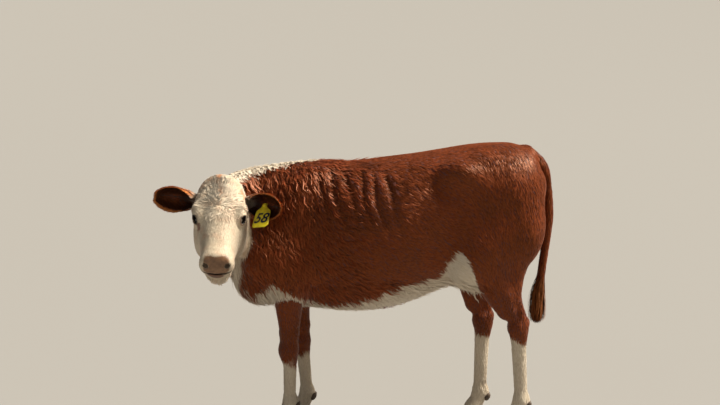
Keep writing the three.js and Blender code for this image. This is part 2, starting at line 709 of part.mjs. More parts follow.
function legRing(field, axis, side, back, level, lift = 0) {
  const [height, x, y, share, girth] = axis;
  const centre = new THREE.Vector3(side * x, y + share * back, height + lift);
  const ring = { centre, across: acrossBody, up: new THREE.Vector3(0, 1, 0), girth };
  return castRing((p) => field(p, side), ring, LEG_SIDES, 150, level);
}

function legGeometry(kind, side, half, level = 0) {
  const fore = kind === "foreleg";
  const field = fore ? forelegField : hindlegField;
  const axes = fore ? FORE_AXIS : HIND_AXIS;
  const parting = fore ? KNEE_CUT : HOCK_CUT;
  const upper = half === "upper";
  const chosen = axes.filter(([height]) => (upper ? height >= parting : height <= parting));
  const rings = chosen.map((axis) => {
    const lift = axis[0] === parting ? (upper ? GAP : -GAP) : 0;
    return legRing(field, axis, side, STANCE[kind][side], level, lift);
  });
  return lofted(rings);
}

function footPlace(kind, side) {
  const axis = (kind === "foreleg" ? FORE_AXIS : HIND_AXIS)[1];
  return new THREE.Vector3(side * axis[1], axis[2] + STANCE[kind][side], 0);
}

// One claw: a flat sole, a wall that leans back toward the coronet, and a flat inner side.
function clawGeometry(outward) {
  const { length, width, toe, heel, cleft, back } = CLAW;
  const sides = 10;
  const levels = [0, 0.12, 1];
  const rings = levels.map((t) => Array.from({ length: sides }, (_, i) => {
    const turn = ((i + 0.5) / sides) * 2 * Math.PI;
    const c = Math.cos(turn);
    const s = Math.sin(turn);
    const squeeze = 1 - CLAW_TAPER.width * t - (t === 0 ? CLAW_TAPER.sole : 0);
    const half = width * (outward * c > 0 ? CLAW_OUTER : 1 - CLAW_OUTER);
    const x = outward * (cleft / 2 + width * (1 - CLAW_OUTER)) + c * half * squeeze;
    const reach = (length / 2) * (s < 0 ? 1 : CLAW_BLUNT) * (1 - CLAW_TAPER.length * t);
    const y = CLAW_TAPER.lean * length * t + s * reach - back;
    const z = t * (heel + ((toe - heel) * (1 - s)) / 2);
    return new THREE.Vector3(x, y, z);
  }));
  return lofted(rings);
}

function dewclawGeometry() {
  return new THREE.SphereGeometry(1, 6, 4).scale(...DEWCLAW.radii).rotateX(DEWCLAW.tilt);
}

const TAIL_SIDES = 8;

function tailGeometry(from, to, trimStart, trimEnd) {
  const steps = (to - from) * 2;
  const rings = Array.from({ length: steps + 1 }, (_, i) => {
    const t = from + i / 2;
    const value = (column, at = t) => through(TAIL, at, column, null);
    const ahead = Math.min(t + 0.05, TAIL.length - 1);
    const behind = Math.max(t - 0.05, 0);
    const forward = new THREE.Vector3(
      0,
      value(0, ahead) - value(0, behind),
      value(1, ahead) - value(1, behind),
    ).normalize();
    const centre = new THREE.Vector3(0, value(0), value(1));
    if (i === 0) centre.addScaledVector(forward, trimStart);
    if (i === steps) centre.addScaledVector(forward, -trimEnd);
    const up = new THREE.Vector3().crossVectors(acrossBody, forward);
    return Array.from({ length: TAIL_SIDES }, (_unused, k) => {
      const turn = (k / TAIL_SIDES) * 2 * Math.PI;
      return centre.clone()
        .addScaledVector(acrossBody, Math.cos(turn) * value(2))
        .addScaledVector(up, Math.sin(turn) * value(2));
    });
  });
  return lofted(rings);
}

// ------------------------------------------------------------------ finishes
const finish = {
  redCoat: { color: 0x6e3a24, roughness: 0.85 },
  whiteCoat: { color: 0xe4d8c6, roughness: 0.88 },
  ear: { color: 0x7a4028, roughness: 0.85 },
  switchHair: { color: 0x4a2c1a, roughness: 0.9 },
  claw: { color: 0x4d3f33, roughness: 0.5 },
  eye: { color: 0x1a1310, roughness: 0.08 },
  tag: { color: 0xe8d32a, roughness: 0.45 },
};

const cow = new THREE.Group();

function addPart(name, geometry, look) {
  const material = new THREE.MeshStandardMaterial({ metalness: 0, ...look });
  const mesh = new THREE.Mesh(geometry, material);
  mesh.name = name;
  cow.add(mesh);
  return mesh;
}

// ------------------------------------------------------------------ the cow
const swollenTrunk = trunkGeometry(2 * GAP);
const swollenHead = headGeometry(2 * GAP);
addPart("trunk", trunkGeometry(), finish.redCoat);
addPart("neck", cut(neckGeometry(), swollenHead), finish.redCoat);
addPart("head", cut(
  headGeometry(),
  ...[LEFT, RIGHT].flatMap((side) => [socket(side), lidOpening(side)]),
), finish.whiteCoat);

for (const [name, side] of [["left", LEFT], ["right", RIGHT]]) {
  addPart(`eye_${name}`, eyeGeometry(), finish.eye).position.copy(eyePlace(side));
  const tools = side === LEFT ? [swollenHead, earHole()] : [swollenHead];
  addPart(`ear_${name}`, cut(earGeometry(name), ...tools), finish.ear);
}

for (const kind of ["foreleg", "hindleg"]) {
  for (const [name, side] of [["left", LEFT], ["right", RIGHT]]) {
    const upper = cut(legGeometry(kind, side, "upper"), swollenTrunk);
    addPart(`${kind}_${name}_upper`, upper, finish.redCoat);
    addPart(`${kind}_${name}_lower`, legGeometry(kind, side, "lower"), finish.whiteCoat);
    const swollenShank = legGeometry(kind, side, "lower", 2 * GAP);
    const foot = footPlace(kind, side);
    for (const [place, outward] of [["outer", side], ["inner", -side]]) {
      const claw = clawGeometry(outward).translate(...foot.toArray());
      addPart(`claw_${kind}_${name}_${place}`, cut(claw, swollenShank), finish.claw);
      const dewclaw = dewclawGeometry().translate(
        foot.x + outward * DEWCLAW.spread,
        foot.y + DEWCLAW_BACK[kind],
        DEWCLAW.height,
      );
      addPart(`dewclaw_${kind}_${name}_${place}`, cut(dewclaw, swollenShank), finish.claw);
    }
  }
}

addPart("tail", cut(tailGeometry(0, SWITCH_TOP, 0, GAP), swollenTrunk), finish.redCoat);
addPart("tail_switch", tailGeometry(SWITCH_TOP, TAIL.length - 1, GAP, 0), finish.switchHair);
addPart("ear_tag", tagGeometry(), finish.tag);
addPart("tag_button", buttonGeometry(), finish.tag);

// The origin is on the floor under the middle of the whole model.
const box = new THREE.Box3().setFromObject(cow);
const middle = box.getCenter(new THREE.Vector3());
for (const mesh of cow.children) {
  mesh.position.x -= middle.x;
  mesh.position.y -= middle.y;
  mesh.position.z -= box.min.z;
}

export default cow;
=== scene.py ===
import math
from functools import partial

import bmesh
import bpy
import numpy as np
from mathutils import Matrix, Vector


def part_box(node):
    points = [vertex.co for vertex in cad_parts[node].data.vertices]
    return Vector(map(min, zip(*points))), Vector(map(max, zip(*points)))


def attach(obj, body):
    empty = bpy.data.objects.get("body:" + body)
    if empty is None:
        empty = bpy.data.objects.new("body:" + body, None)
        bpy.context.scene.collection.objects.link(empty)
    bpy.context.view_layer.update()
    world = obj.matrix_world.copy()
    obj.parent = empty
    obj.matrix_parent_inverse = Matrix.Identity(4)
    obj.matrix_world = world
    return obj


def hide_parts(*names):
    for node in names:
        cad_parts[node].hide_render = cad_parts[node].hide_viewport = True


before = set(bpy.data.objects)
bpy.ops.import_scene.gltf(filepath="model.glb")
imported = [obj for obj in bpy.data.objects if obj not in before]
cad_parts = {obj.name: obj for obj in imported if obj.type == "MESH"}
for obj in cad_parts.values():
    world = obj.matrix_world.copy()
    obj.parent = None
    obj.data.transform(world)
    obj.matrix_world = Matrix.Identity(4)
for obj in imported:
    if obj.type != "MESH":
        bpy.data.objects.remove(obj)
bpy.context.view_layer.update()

# A young polled cow with a curly red coat and a white face, as a still model at life size.
# The hide is one surface made from the same sections, muscles and bones as the solids. It lies
# inside them by the depth of the coat, and the coat stands on it as tufts and locks of solid mesh.
# Shapes are worked out in millimetres, with x to the cow's left, y to its tail and z up, and are
# moved to the model's own place as they become meshes.

MM = 0.001
LEFT = 1
RIGHT = -1
SEED = 26

# ---------- shape of the body
# Trunk sections along the back: y, top, bottom, half width, height of the widest point,
# and the roundness of the upper and the lower half.
TRUNK = np.array([
    [-618, 830, 620, 80, 720, 2.0, 2.0],
    [-570, 920, 560, 125, 725, 2.0, 2.1],
    [-500, 1000, 530, 146, 735, 2.0, 2.2],
    [-400, 1044, 512, 176, 750, 2.0, 2.2],
    [-300, 1060, 500, 210, 765, 2.0, 2.2],
    [-200, 1072, 490, 238, 775, 2.1, 2.2],
    [-100, 1083, 490, 256, 780, 2.2, 2.2],
    [0, 1096, 502, 256, 795, 2.3, 2.2],
    [100, 1108, 532, 242, 840, 2.5, 2.2],
    [200, 1124, 575, 222, 900, 2.6, 2.2],
    [300, 1140, 632, 205, 955, 2.6, 2.2],
    [400, 1145, 700, 182, 965, 2.5, 2.2],
    [500, 1139, 770, 150, 985, 2.4, 2.2],
    [566, 1102, 850, 106, 995, 2.3, 2.2],
    [592, 1040, 900, 52, 980, 2.2, 2.2],
], float)

# Muscles and bony points on each side: centre, radii, tilt about X, blend with the ones before,
# and the share of the hind leg's stance that they follow.
MASSES = [
    ("shoulder blade", (106, -362, 860), (74, 115, 220), -28, 70, 0),
    ("upper arm", (150, -420, 690), (68, 125, 110), -10, 60, 0),
    ("point of shoulder", (125, -520, 705), (58, 62, 70), 0, 60, 0),
    ("brisket", (38, -520, 608), (74, 88, 86), 0, 60, 0),
    ("hook bone", (184, 262, 1040), (40, 66, 40), 0, 60, 0),
    ("rump", (92, 420, 1000), (98, 175, 118), 6, 60, 0),
    ("pin bone", (88, 550, 972), (46, 47, 66), 0, 50, 0),
    ("round", (122, 470, 850), (92, 138, 200), 4, 60, 0.12),
    ("thigh", (150, 340, 760), (72, 115, 150), -20, 60, 0.3),
    ("udder", (45, 330, 620), (60, 90, 55), 0, 50, 0),
]
MASS_BLEND = 70
MIDLINE = 60  # over this far from the middle the two thighs pass into each other

# Neck sections from the chest to the back of the head: centre, half width, reach up and down.
NECK = np.array([
    [0, -250, 815, 146, 242, 250],
    [0, -380, 830, 130, 233, 250],
    [2, -470, 845, 104, 219, 235],
    [10, -550, 862, 90, 200, 200],
    [50, -622, 878, 84, 160, 165],
    [122, -656, 885, 80, 100, 130],
    [178, -664, 872, 70, 60, 105],
], float)
NECK_BLEND = 80

# Head: the poll's place, how the face is turned, lowered and tilted, and its sections from the
# poll to the muzzle, with places given as (to its left, from poll to muzzle, out of the forehead).
POLL = np.array([146.0, -656.0, 1002.0])
HEAD_TURN = 0.3
HEAD_DROP = 42
HEAD_TILT = -0.8
HEAD = np.array([
    [-28, -20, -90, 44, -55, 2.0, 2.0],
    [0, 7, -135, 80, -62, 2.2, 2.0],
    [45, 18, -165, 98, -70, 2.4, 2.0],
    [100, 16, -192, 104, -78, 2.6, 2.1],
    [155, 8, -206, 101, -88, 2.5, 2.2],
    [208, 0, -198, 88, -96, 2.2, 2.3],
    [258, -5, -176, 77, -92, 2.2, 2.3],
    [305, -8, -152, 70, -80, 2.3, 2.2],
    [350, -10, -140, 64, -74, 2.4, 2.2],
    [385, -20, -130, 56, -74, 2.3, 2.2],
    [408, -46, -104, 32, -75, 2.0, 2.0],
], float)
FEATURES = [
    ("poll", (0, 3, -26), (66, 44, 50), 40),
    ("brow", (82, 138, -28), (26, 42, 30), 24),
    ("cheek", (64, 178, -142), (36, 76, 62), 34),
    ("muzzle", (0, 364, -56), (58, 44, 42), 26),
    ("nostril wing", (38, 383, -58), (25, 25, 34), 18),
    ("lids", (78, 163, -42), (24, 30, 25), 14),
]
CHIN = ((4, 356, -132), (38, 46, 32), 22)
MOUTH = ((4, 402, -78), (60, 60, 5), 6)
NOSTRIL = ((42, 402, -42), (11, 18, 9), 6)
HEAD_BLEND = 30

EYE = np.array([76.0, 163.0, -41.0])
EYE_RADIUS = 18.5
EYE_GAP = 0.5  # between the eyeball and the socket
GAZE = np.array([0.7, 0.46, 0.55])
LID_OPENING = np.array([17.0, 11.0, 20.0])
LID_FORWARD = 16  # the opening's centre, ahead of the eyeball's
LID_LEAN = -0.25  # how far the lids' long way drops as it runs to the muzzle
BARE_DEPTH = 0.15  # the coat's depth on the muzzle and lids, as a share of the head's

# Legs: how far each one stands back, how it blends into the body, and the forms of a left leg
# from the top down. Each is a rod between two places or, with only one place, an egg. A place is
# x, y, z and the share of the leg's stance that moves it. Then come the radii, a rod's width
# across x for its depth or an egg's tilt in degrees, and the blend with the forms above.
STANCE = {"foreleg": {LEFT: -15, RIGHT: 45}, "hindleg": {LEFT: 0, RIGHT: -150}}
LEG_BLEND = {"foreleg": 40, "hindleg": 45}
LEGS = {
    "foreleg": [
        ((140, -395, 640, 0.1), (128, -385, 420, 0.6), (76, 40), 0.86, 0),
        ((128, -385, 400, 0.65), (126, -385, 350, 0.7), (37, 38), 0.95, 20),
        ((126, -388, 335, 0.72), None, (40, 38, 46), 0, 18),
        ((125, -380, 300, 0.75), (122, -378, 165, 1), (28, 25), 0.86, 22),
        ((122, -374, 136, 1), None, (33, 34, 34), 0, 18),
        ((122, -382, 112, 1), (121, -402, 78, 1), (29, 36), 1.05, 14),
    ],
    "hindleg": [
        ((140, 350, 720, 0.2), (122, 455, 500, 0.75), (98, 44), 0.78, 0),
        ((160, 285, 680, 0.35), None, (52, 62, 80), 0, 40),
        ((118, 484, 645, 0.6), (114, 490, 545, 0.75), (42, 21), 0.9, 34),
        ((114, 490, 545, 0.75), (113, 522, 452, 0.85), (21, 19), 0.9, 14),
        ((112, 498, 425, 0.85), None, (36, 42, 52), 18, 22),
        ((112, 524, 448, 0.85), (111, 512, 385, 0.88), (20, 18), 1, 14),
        ((111, 502, 375, 0.88), (110, 512, 172, 1), (31, 27), 0.82, 22),
        ((110, 514, 142, 1), None, (33, 36, 35), 0, 18),
        ((110, 504, 116, 1), (109, 484, 80, 1), (30, 37), 1.05, 14),
    ],
}

# Tail: centre line from the tail head down, as y, z and radius.
TAIL = np.array([
    [539, 1109, 17],
    [578, 1086, 18.5],
    [608, 1043, 18],
    [617, 984, 18],
    [623, 929, 18],
    [626, 854, 17.5],
    [617, 772, 16.5],
    [605, 689, 16],
    [596, 622, 17],
    [585, 563, 25],
    [581, 504, 28],
    [580, 455, 26],
    [581, 430, 12],
])
SWITCH_TOP = 7.5  # station where the switch's long hair begins
TAIL_BONE_END = 10  # station where the tail's flesh ends inside the switch
TAIL_FLESH = 18.5  # the flesh's greatest radius, with its short hair

# Ears: base and tip on the head, which way the cup faces, half widths and how far it curls.
EARS = {
    "left": ((84, 74, -46), (236, 142, 4), (0.95, -0.1, -0.05)),
    "right": ((-84, 60, -64), (-257, 50, -32), (0.93, -0.12, -0.3)),
}
EAR_WIDTH = np.array([
    [0, 21], [0.12, 26], [0.3, 39], [0.5, 48], [0.7, 46], [0.88, 32], [0.97, 16], [1, 5],
])
EAR_CURL = np.array([[0, 140], [0.2, 110], [0.45, 66], [0.8, 52], [1, 36]])
EAR_THICKNESS = 7
EAR_UP = {"left": -1, "right": 1}  # which rim of each ear is the upper one

# Depth of the coat, which the hide lies under.
COAT_DEPTH = {"trunk": 5.5, "neck": 9, "head": 3.5, "leg": 3, "tail": 3, "ear": 1.5}

# ---------- small mathematics


def smooth(x, low, high):
    """0 up to `low`, 1 from `high` on, and an even curve between; `low` may be the greater."""
    t = np.clip((x - low) / (high - low), 0, 1)
    return t * t * (3 - 2 * t)


def unit(v):
    """The vectors at length 1."""
    return v / np.maximum(np.linalg.norm(v, axis=-1, keepdims=True), 1e-9)


def bump_at(x, middle, width):
    """A smooth hump of height 1 at `middle`."""
    return np.exp(-(((x - middle) / width) ** 2))


def through(at, knots, values):
    """A smooth curve through the values at the knots."""
    slope = np.gradient(values, knots)
    at = np.clip(at, knots[0], knots[-1])
    i = np.clip(np.searchsorted(knots, at, side="right") - 1, 0, len(knots) - 2)
    step = knots[i + 1] - knots[i]
    t = (at - knots[i]) / step
    t2, t3 = t * t, t * t * t
    return (
        (2 * t3 - 3 * t2 + 1) * values[i]
        + (t3 - 2 * t2 + t) * step * slope[i]
        + (3 * t2 - 2 * t3) * values[i + 1]
        + (t3 - t2) * step * slope[i + 1]
    )


def ripple(p, size, seed, waves=14):
    """Smooth noise of about -1 to 1, whose swells are `size` millimetres across."""
    rng = np.random.default_rng(seed)
    total = np.zeros(len(p))
    for _ in range(waves):
        way = unit(rng.normal(size=p.shape[1]))
        length = size * rng.uniform(1.2, 2.8)
        total += np.sin(p @ way * (2 * math.pi / length) + rng.uniform(0, 2 * math.pi))
    return total / math.sqrt(waves / 2) * 0.6


# ---------- fields: distance outside a form
def blend(a, b, soft):
    """Two forms joined, with a fillet about `soft` wide."""
    near = np.maximum(soft - np.abs(a - b), 0) / soft
    return np.minimum(a, b) - near * near * soft / 4


def carve(a, b, soft):
    """The first form with the second taken out of it."""
    return -blend(-a, b, soft)


def ellipsoid(p, centre, radii, tilt=0):
    """An egg, tilted about x in degrees."""
    q = p - np.asarray(centre, float)
    if tilt:
        c, s = math.cos(math.radians(tilt)), math.sin(math.radians(tilt))
        q = np.stack([q[:, 0], c * q[:, 1] + s * q[:, 2], c * q[:, 2] - s * q[:, 1]], 1)
    radii = np.asarray(radii, float)
    near = np.linalg.norm(q / radii, axis=1)
    far = np.linalg.norm(q / (radii * radii), axis=1)
    return near * (near - 1) / np.maximum(far, 1e-9)


def bone(p, a, b, ra, rb, wide=1.0):
    """A tapered rod from a to b, whose radii go from ra to rb, `wide` times as wide across x."""
    a, b = np.asarray(a, float), np.asarray(b, float)
    length = b - a
    t = np.clip((p - a) @ length / (length @ length), 0, 1)
    q = p - (a + t[:, None] * length)
    return np.sqrt((q[:, 0] / wide) ** 2 + q[:, 1] ** 2 + q[:, 2] ** 2) - (ra + t * (rb - ra))


def section(across, rise, half, top, low, round_top, round_low):
    """An oval with its own reach up, down and sideways; roundness 2 is an ellipse."""
    reach = np.where(rise > 0, top, low)
    power = np.where(rise > 0, round_top, round_low)
    u = np.abs(across) / np.maximum(half, 1e-3)
    v = np.abs(rise) / np.maximum(reach, 1e-3)
    value = np.maximum((u ** power + v ** power) ** (1 / power), 1e-6)
    return np.hypot(across, rise) * (1 - 1 / value)


BLUNT = 0.2  # how pointed a loft's ends are: 1 is a cone, 0 is flat


def capped(distance, over, point=1.0):
    """The field past the end of a form: `over` is how far past, and `point` how pointed it is."""
    beyond = np.hypot(np.maximum(distance, 0), over) + point * np.minimum(distance, 0)
    return np.where(over > 0, beyond, distance)


def loft(rows, along, across, rise):
    """A form through rows of sections: place, top, bottom, half width, middle, roundnesses."""
    top, low, half, middle, round_top, round_low = [
        through(along, rows[:, 0], rows[:, column]) for column in range(1, 7)
    ]
    d = section(across, rise - middle, half, top - middle, middle - low, round_top, round_low)
    return capped(d, np.maximum(rows[0, 0] - along, along - rows[-1, 0]), BLUNT)


def neck_steps(count=61):
    """Centres, sizes and directions at even steps along the neck."""
    t = np.linspace(0, len(NECK) - 1, count)
    knots = np.arange(len(NECK), dtype=float)
    values = np.stack([through(t, knots, NECK[:, j]) for j in range(6)], 1)
    centre, size = values[:, :3], values[:, 3:]
    forward = unit(np.gradient(centre, axis=0))
    side = unit(np.cross(forward, [0, 0, 1.0]))
    return centre, size, forward, side, np.cross(side, forward)


NECK_STEPS = neck_steps()


def on_neck(p):
    """Where points are beside the neck: across it, up from its axis, past its end, and its size."""
    centre, size, forward, side, up = NECK_STEPS
    best = np.full(len(p), np.inf)
    nearest = np.zeros(len(p), int)
    for i in range(len(centre)):
        d = ((p - centre[i]) ** 2).sum(1)
        closer = d < best
        best[closer] = d[closer]
        nearest[closer] = i
    stride = np.linalg.norm(np.diff(centre, axis=0), axis=1).mean()
    part = np.clip(((p - centre[nearest]) * forward[nearest]).sum(1) / stride, -1, 1)
    other = np.clip(nearest + np.sign(part).astype(int), 0, len(centre) - 1)
    w = np.abs(part)[:, None]
    centre, side, up, forward, size = [
        values[nearest] * (1 - w) + values[other] * w
        for values in (centre, side, up, forward, size)
    ]
    q = p - centre
    past = (q * forward).sum(1)
    last = len(NECK_STEPS[0]) - 1
    ended = (nearest == 0) & (past < 0) | (nearest == last) & (past > 0)
    return (q * side).sum(1), (q * up).sum(1), np.where(ended, np.abs(past), 0), size


def neck_field(p):
    """The neck."""
    across, rise, over, size = on_neck(p)
    round_neck = np.full(len(p), 2.0)
    d = section(across, rise, size[:, 0], size[:, 1], size[:, 2], round_neck, round_neck)
    return capped(d, over)


def trunk_field(p):
    """The trunk and its muscles, some of which are drawn along by a hind leg set back."""
    to_left = smooth(p[:, 0], -MIDLINE, MIDLINE)
    stance = STANCE["hindleg"][RIGHT] * (1 - to_left) + STANCE["hindleg"][LEFT] * to_left
    masses = None
    for _name, at, radii, tilt, soft, follows in MASSES:
        q = np.stack([np.abs(p[:, 0]), p[:, 1] - stance * follows, p[:, 2]], 1)
        d = ellipsoid(q, at, radii, tilt)
        masses = d if masses is None else blend(masses, d, soft)
    return blend(loft(TRUNK, p[:, 1], p[:, 0], p[:, 2]), masses, MASS_BLEND)


def head_axes():
    """The head's own axes: to its left, from poll to muzzle, and out of the forehead."""
    turn, drop, tilt = np.radians([HEAD_TURN, HEAD_DROP, HEAD_TILT])
    side = np.array([math.sin(turn), math.cos(turn), 0])
    along = np.array([
        math.cos(drop) * math.cos(turn),
        -math.cos(drop) * math.sin(turn),
        -math.sin(drop),
    ])
    lean = np.array([
        [1, 0, 0],
        [0, math.cos(tilt), -math.sin(tilt)],
        [0, math.sin(tilt), math.cos(tilt)],
    ])
    return np.stack([side, along, np.cross(along, side)]) @ lean.T


HEAD_AXES = head_axes()


def to_head(p):
    """Places on the head's own axes."""
    return (p - POLL) @ HEAD_AXES.T


def from_head(q):
    """Places on the head's own axes, carried back to the body's."""
    return POLL + np.asarray(q, float) @ HEAD_AXES


def paired(q):
    """The places carried over to the left half."""
    return np.stack([np.abs(q[:, 0]), q[:, 1], q[:, 2]], 1)


def eye_axes():
    """The lids' long way, their short way and the gaze of the left eye, on the head."""
    gaze = unit(GAZE)
    slit = np.array([0, 1, LID_LEAN])
    slit = unit(slit - (slit @ gaze) * gaze)
    return np.stack([slit, np.cross(gaze, slit), gaze])


EYE_AXES = eye_axes()


def lid_folds(local):
    """Rims that stand proud round the eye, and the creases above and below them."""
    ring = lid_ring(local)
    above = smooth(local[:, 1], -5, 5)
    rim = -1.4 * bump_at(ring, 1.22, 0.16)
    upper = above * (2.0 * bump_at(ring, 1.72, 0.17) + 1.1 * bump_at(ring, 2.3, 0.2))
    lower = (1 - above) * (1.5 * bump_at(ring, 1.8, 0.2) + 0.9 * bump_at(ring, 2.4, 0.2))
    return (rim + upper + lower) * smooth(local[:, 2], -2, 8)


def face_wrinkles(q):
    """The fold over the poll, the furrows of the brow and the skin's rolls beside the nose."""
    l, a, n = q.T
    on_top = smooth(n, -70, -20)
    poll = 3.0 * bump_at(a - 12 - 0.002 * l * l, 26, 6) * bump_at(l, 0, 46)
    bend = 0.004 * l * l + 2.5 * np.sin(l / 9)
    brow = sum(1.9 * bump_at(a - bend, at, 4.5) for at in (78, 92, 118, 134)) * bump_at(l, 0, 62)
    nose = 0.5 * bump_at(a + 0.25 * np.abs(l), 352, 6) * smooth(n, -60, -20)
    lips = sum(1.0 * bump_at(a - 0.3 * (n + 100), at, 4) for at in (322, 340)) * bump_at(n, -92, 22)
    return (poll + brow) * on_top + nose + lips


def lid_ring(local):
    """How far out from the middle of the lids' opening a place is: 1 is on its edge."""
    return np.hypot(local[:, 0] / LID_OPENING[0], local[:, 1] / LID_OPENING[1])


def head_field(q, coat=0):
    """The head out to the tips of its hair or, given the coat's depth, its hide and lids."""
    m = paired(q)
    d = loft(HEAD, q[:, 1], q[:, 0], q[:, 2])
    for _name, at, radii, soft in FEATURES:
        d = blend(d, ellipsoid(m, at, radii), soft)
    d = blend(d, ellipsoid(q, CHIN[0], CHIN[1]), CHIN[2]) + coat
    if coat:
        local = (m - EYE) @ EYE_AXES.T
        d = d + lid_folds(local) + face_wrinkles(q)
        bare = smooth(np.linalg.norm(m - EYE, axis=1), 40, 24)
        muzzle = smooth(q[:, 1], 300, 380)
        d = d - coat * (1 - BARE_DEPTH) * np.maximum(bare, muzzle)
    d = carve(d, ellipsoid(q, MOUTH[0], MOUTH[1]), MOUTH[2])
    d = carve(d, ellipsoid(m, NOSTRIL[0], NOSTRIL[1]), NOSTRIL[2])
    if coat:
        almond = ellipsoid(local - [0, 0, LID_FORWARD], (0, 0, 0), LID_OPENING)
        ball = np.linalg.norm(local, axis=1) - EYE_RADIUS - EYE_GAP
        d = carve(d, np.minimum(almond, ball), 2)
    return d


def leg_field(p, kind, side):
    """One leg, from the elbow or the thigh to the coronet, set back by its stance."""
    whole = None
    for start, end, radii, shape, soft in LEGS[kind]:
        places = [
            (side * x, y + share * STANCE[kind][side], z)
            for x, y, z, share in (start, end or start)
        ]
        if end:
            form = bone(p, *places, *radii, shape)
        else:
            form = ellipsoid(p, places[0], radii, shape)
        whole = form if whole is None else blend(whole, form, soft)
    return whole


def tail_path(t):
    """The tail's centre line and radius at stations t."""
    knots = np.arange(len(TAIL), dtype=float)
    y, z, r = [through(t, knots, TAIL[:, j]) for j in range(3)]
    return np.stack([np.zeros_like(y), y, z], 1), r


def tail_field(p):
    """The tail's hide, which tapers to its end inside the switch."""
    t = np.linspace(0, TAIL_BONE_END, 33)
    centre, radius = tail_path(t)
    radius = np.minimum(radius, TAIL_FLESH) - COAT_DEPTH["tail"]
    radius = radius * (1 - 0.6 * smooth(t, SWITCH_TOP, TAIL_BONE_END)) + 1
    d = np.full(len(p), np.inf)
    for i in range(len(t) - 1):
        d = np.minimum(d, bone(p, centre[i], centre[i + 1], radius[i], radius[i + 1]))
    return d


FOLD = {"apart": 53, "deep": 9}  # the shoulder's upright rolls
NECK_FOLD = {"apart": 30, "deep": 4.5}


def shoulder_folds(p):
    """Loose skin lies over the neck and shoulder in upright rolls, which run back as they fall."""
    y, z = p[:, 1], p[:, 2]
    drift = ripple(p, 90, 11) * 9
    slanted = y + 0.24 * (z - 960) + drift
    big = (0.5 + 0.5 * np.cos(slanted * 2 * math.pi / FOLD["apart"])) ** 2
    on_shoulder = (
        smooth(y, -350, -240) * smooth(y, 70, -10) * smooth(z, 780, 880) * smooth(z, 1060, 1010)
    )
    fine = (0.5 + 0.5 * np.cos((slanted + drift) * 2 * math.pi / NECK_FOLD["apart"])) ** 2
    on_neck_side = smooth(y, -590, -520) * smooth(y, -220, -330) * smooth(z, 640, 860)
    return FOLD["deep"] * big * on_shoulder + NECK_FOLD["deep"] * fine * on_neck_side


def only(near, p, field, *more):
    """The field where `near` holds, and far away elsewhere."""
    d = np.full(len(p), 400.0)
    if near.any():
        d[near] = field(p[near], *more)
    return d


def off_head(p):
    """How far outside the head each place is."""
    return only(p[:, 1] < -460, p, lambda part: head_field(to_head(part)))


def skin_field(p):
    """The whole hide without its ears: the solids' form less the depth of the coat."""
    x, y, z = p.T
    trunk = trunk_field(p) + COAT_DEPTH["trunk"]
    neck = only(y < 60, p, neck_field) + COAT_DEPTH["neck"]
    d = blend(trunk, neck, NECK_BLEND) + shoulder_folds(p)
    for side in (LEFT, RIGHT):
        near = (side * x > 20) & (z < 820)
        for kind, here in (("foreleg", y < -150), ("hindleg", y > 60)):
            leg = only(near & here, p, leg_field, kind, side)
            d = blend(d, leg + COAT_DEPTH["leg"], LEG_BLEND[kind])
    head_near = (x > -60) & (y < -440)
    head = only(head_near, p, lambda part: head_field(to_head(part), COAT_DEPTH["head"]))
    d = blend(d, head, HEAD_BLEND)
    tail = only(y > 480, p, tail_field)
    return blend(d, tail, 3 + 40 * smooth(z, 1020, 1100))


# ---------- hide
CELL = 8  # size of the hide's faces on the body, in mm
HIDE_LOW = (-300, -800, 26)  # the box that the hide is looked for in
HIDE_HIGH = (440, 670, 1190)
BAND = 4  # the field is first read on a grid this many times coarser


def refined(values, axis):
    """The values with BAND - 1 more in between each two along one axis."""
    values = np.moveaxis(values, axis, 0)
    out = np.zeros(((len(values) - 1) * BAND + 1,) + values.shape[1:])
    out[::BAND] = values
    for k in range(1, BAND):
        t = k / BAND
        out[k::BAND] = values[:-1] * (1 - t) + values[1:] * t
    return np.moveaxis(out, 0, axis)


def field_grid(field, low, high):
    """The field at the corners of every cell, exact only near the surface."""
    low, high = np.array(low, float), np.array(high, float)
    count = np.ceil((high - low) / (CELL * BAND)).astype(int) + 1
    axes = [low[i] + np.arange(count[i]) * CELL * BAND for i in range(3)]
    points = np.stack(np.meshgrid(*axes, indexing="ij"), -1).reshape(-1, 3)
    values = field(points).reshape(count)
    for axis in range(3):
        values = refined(values, axis)
    near = np.abs(values) < CELL * BAND * 1.1
    values[near] = field(low + np.argwhere(near) * CELL)
    return values


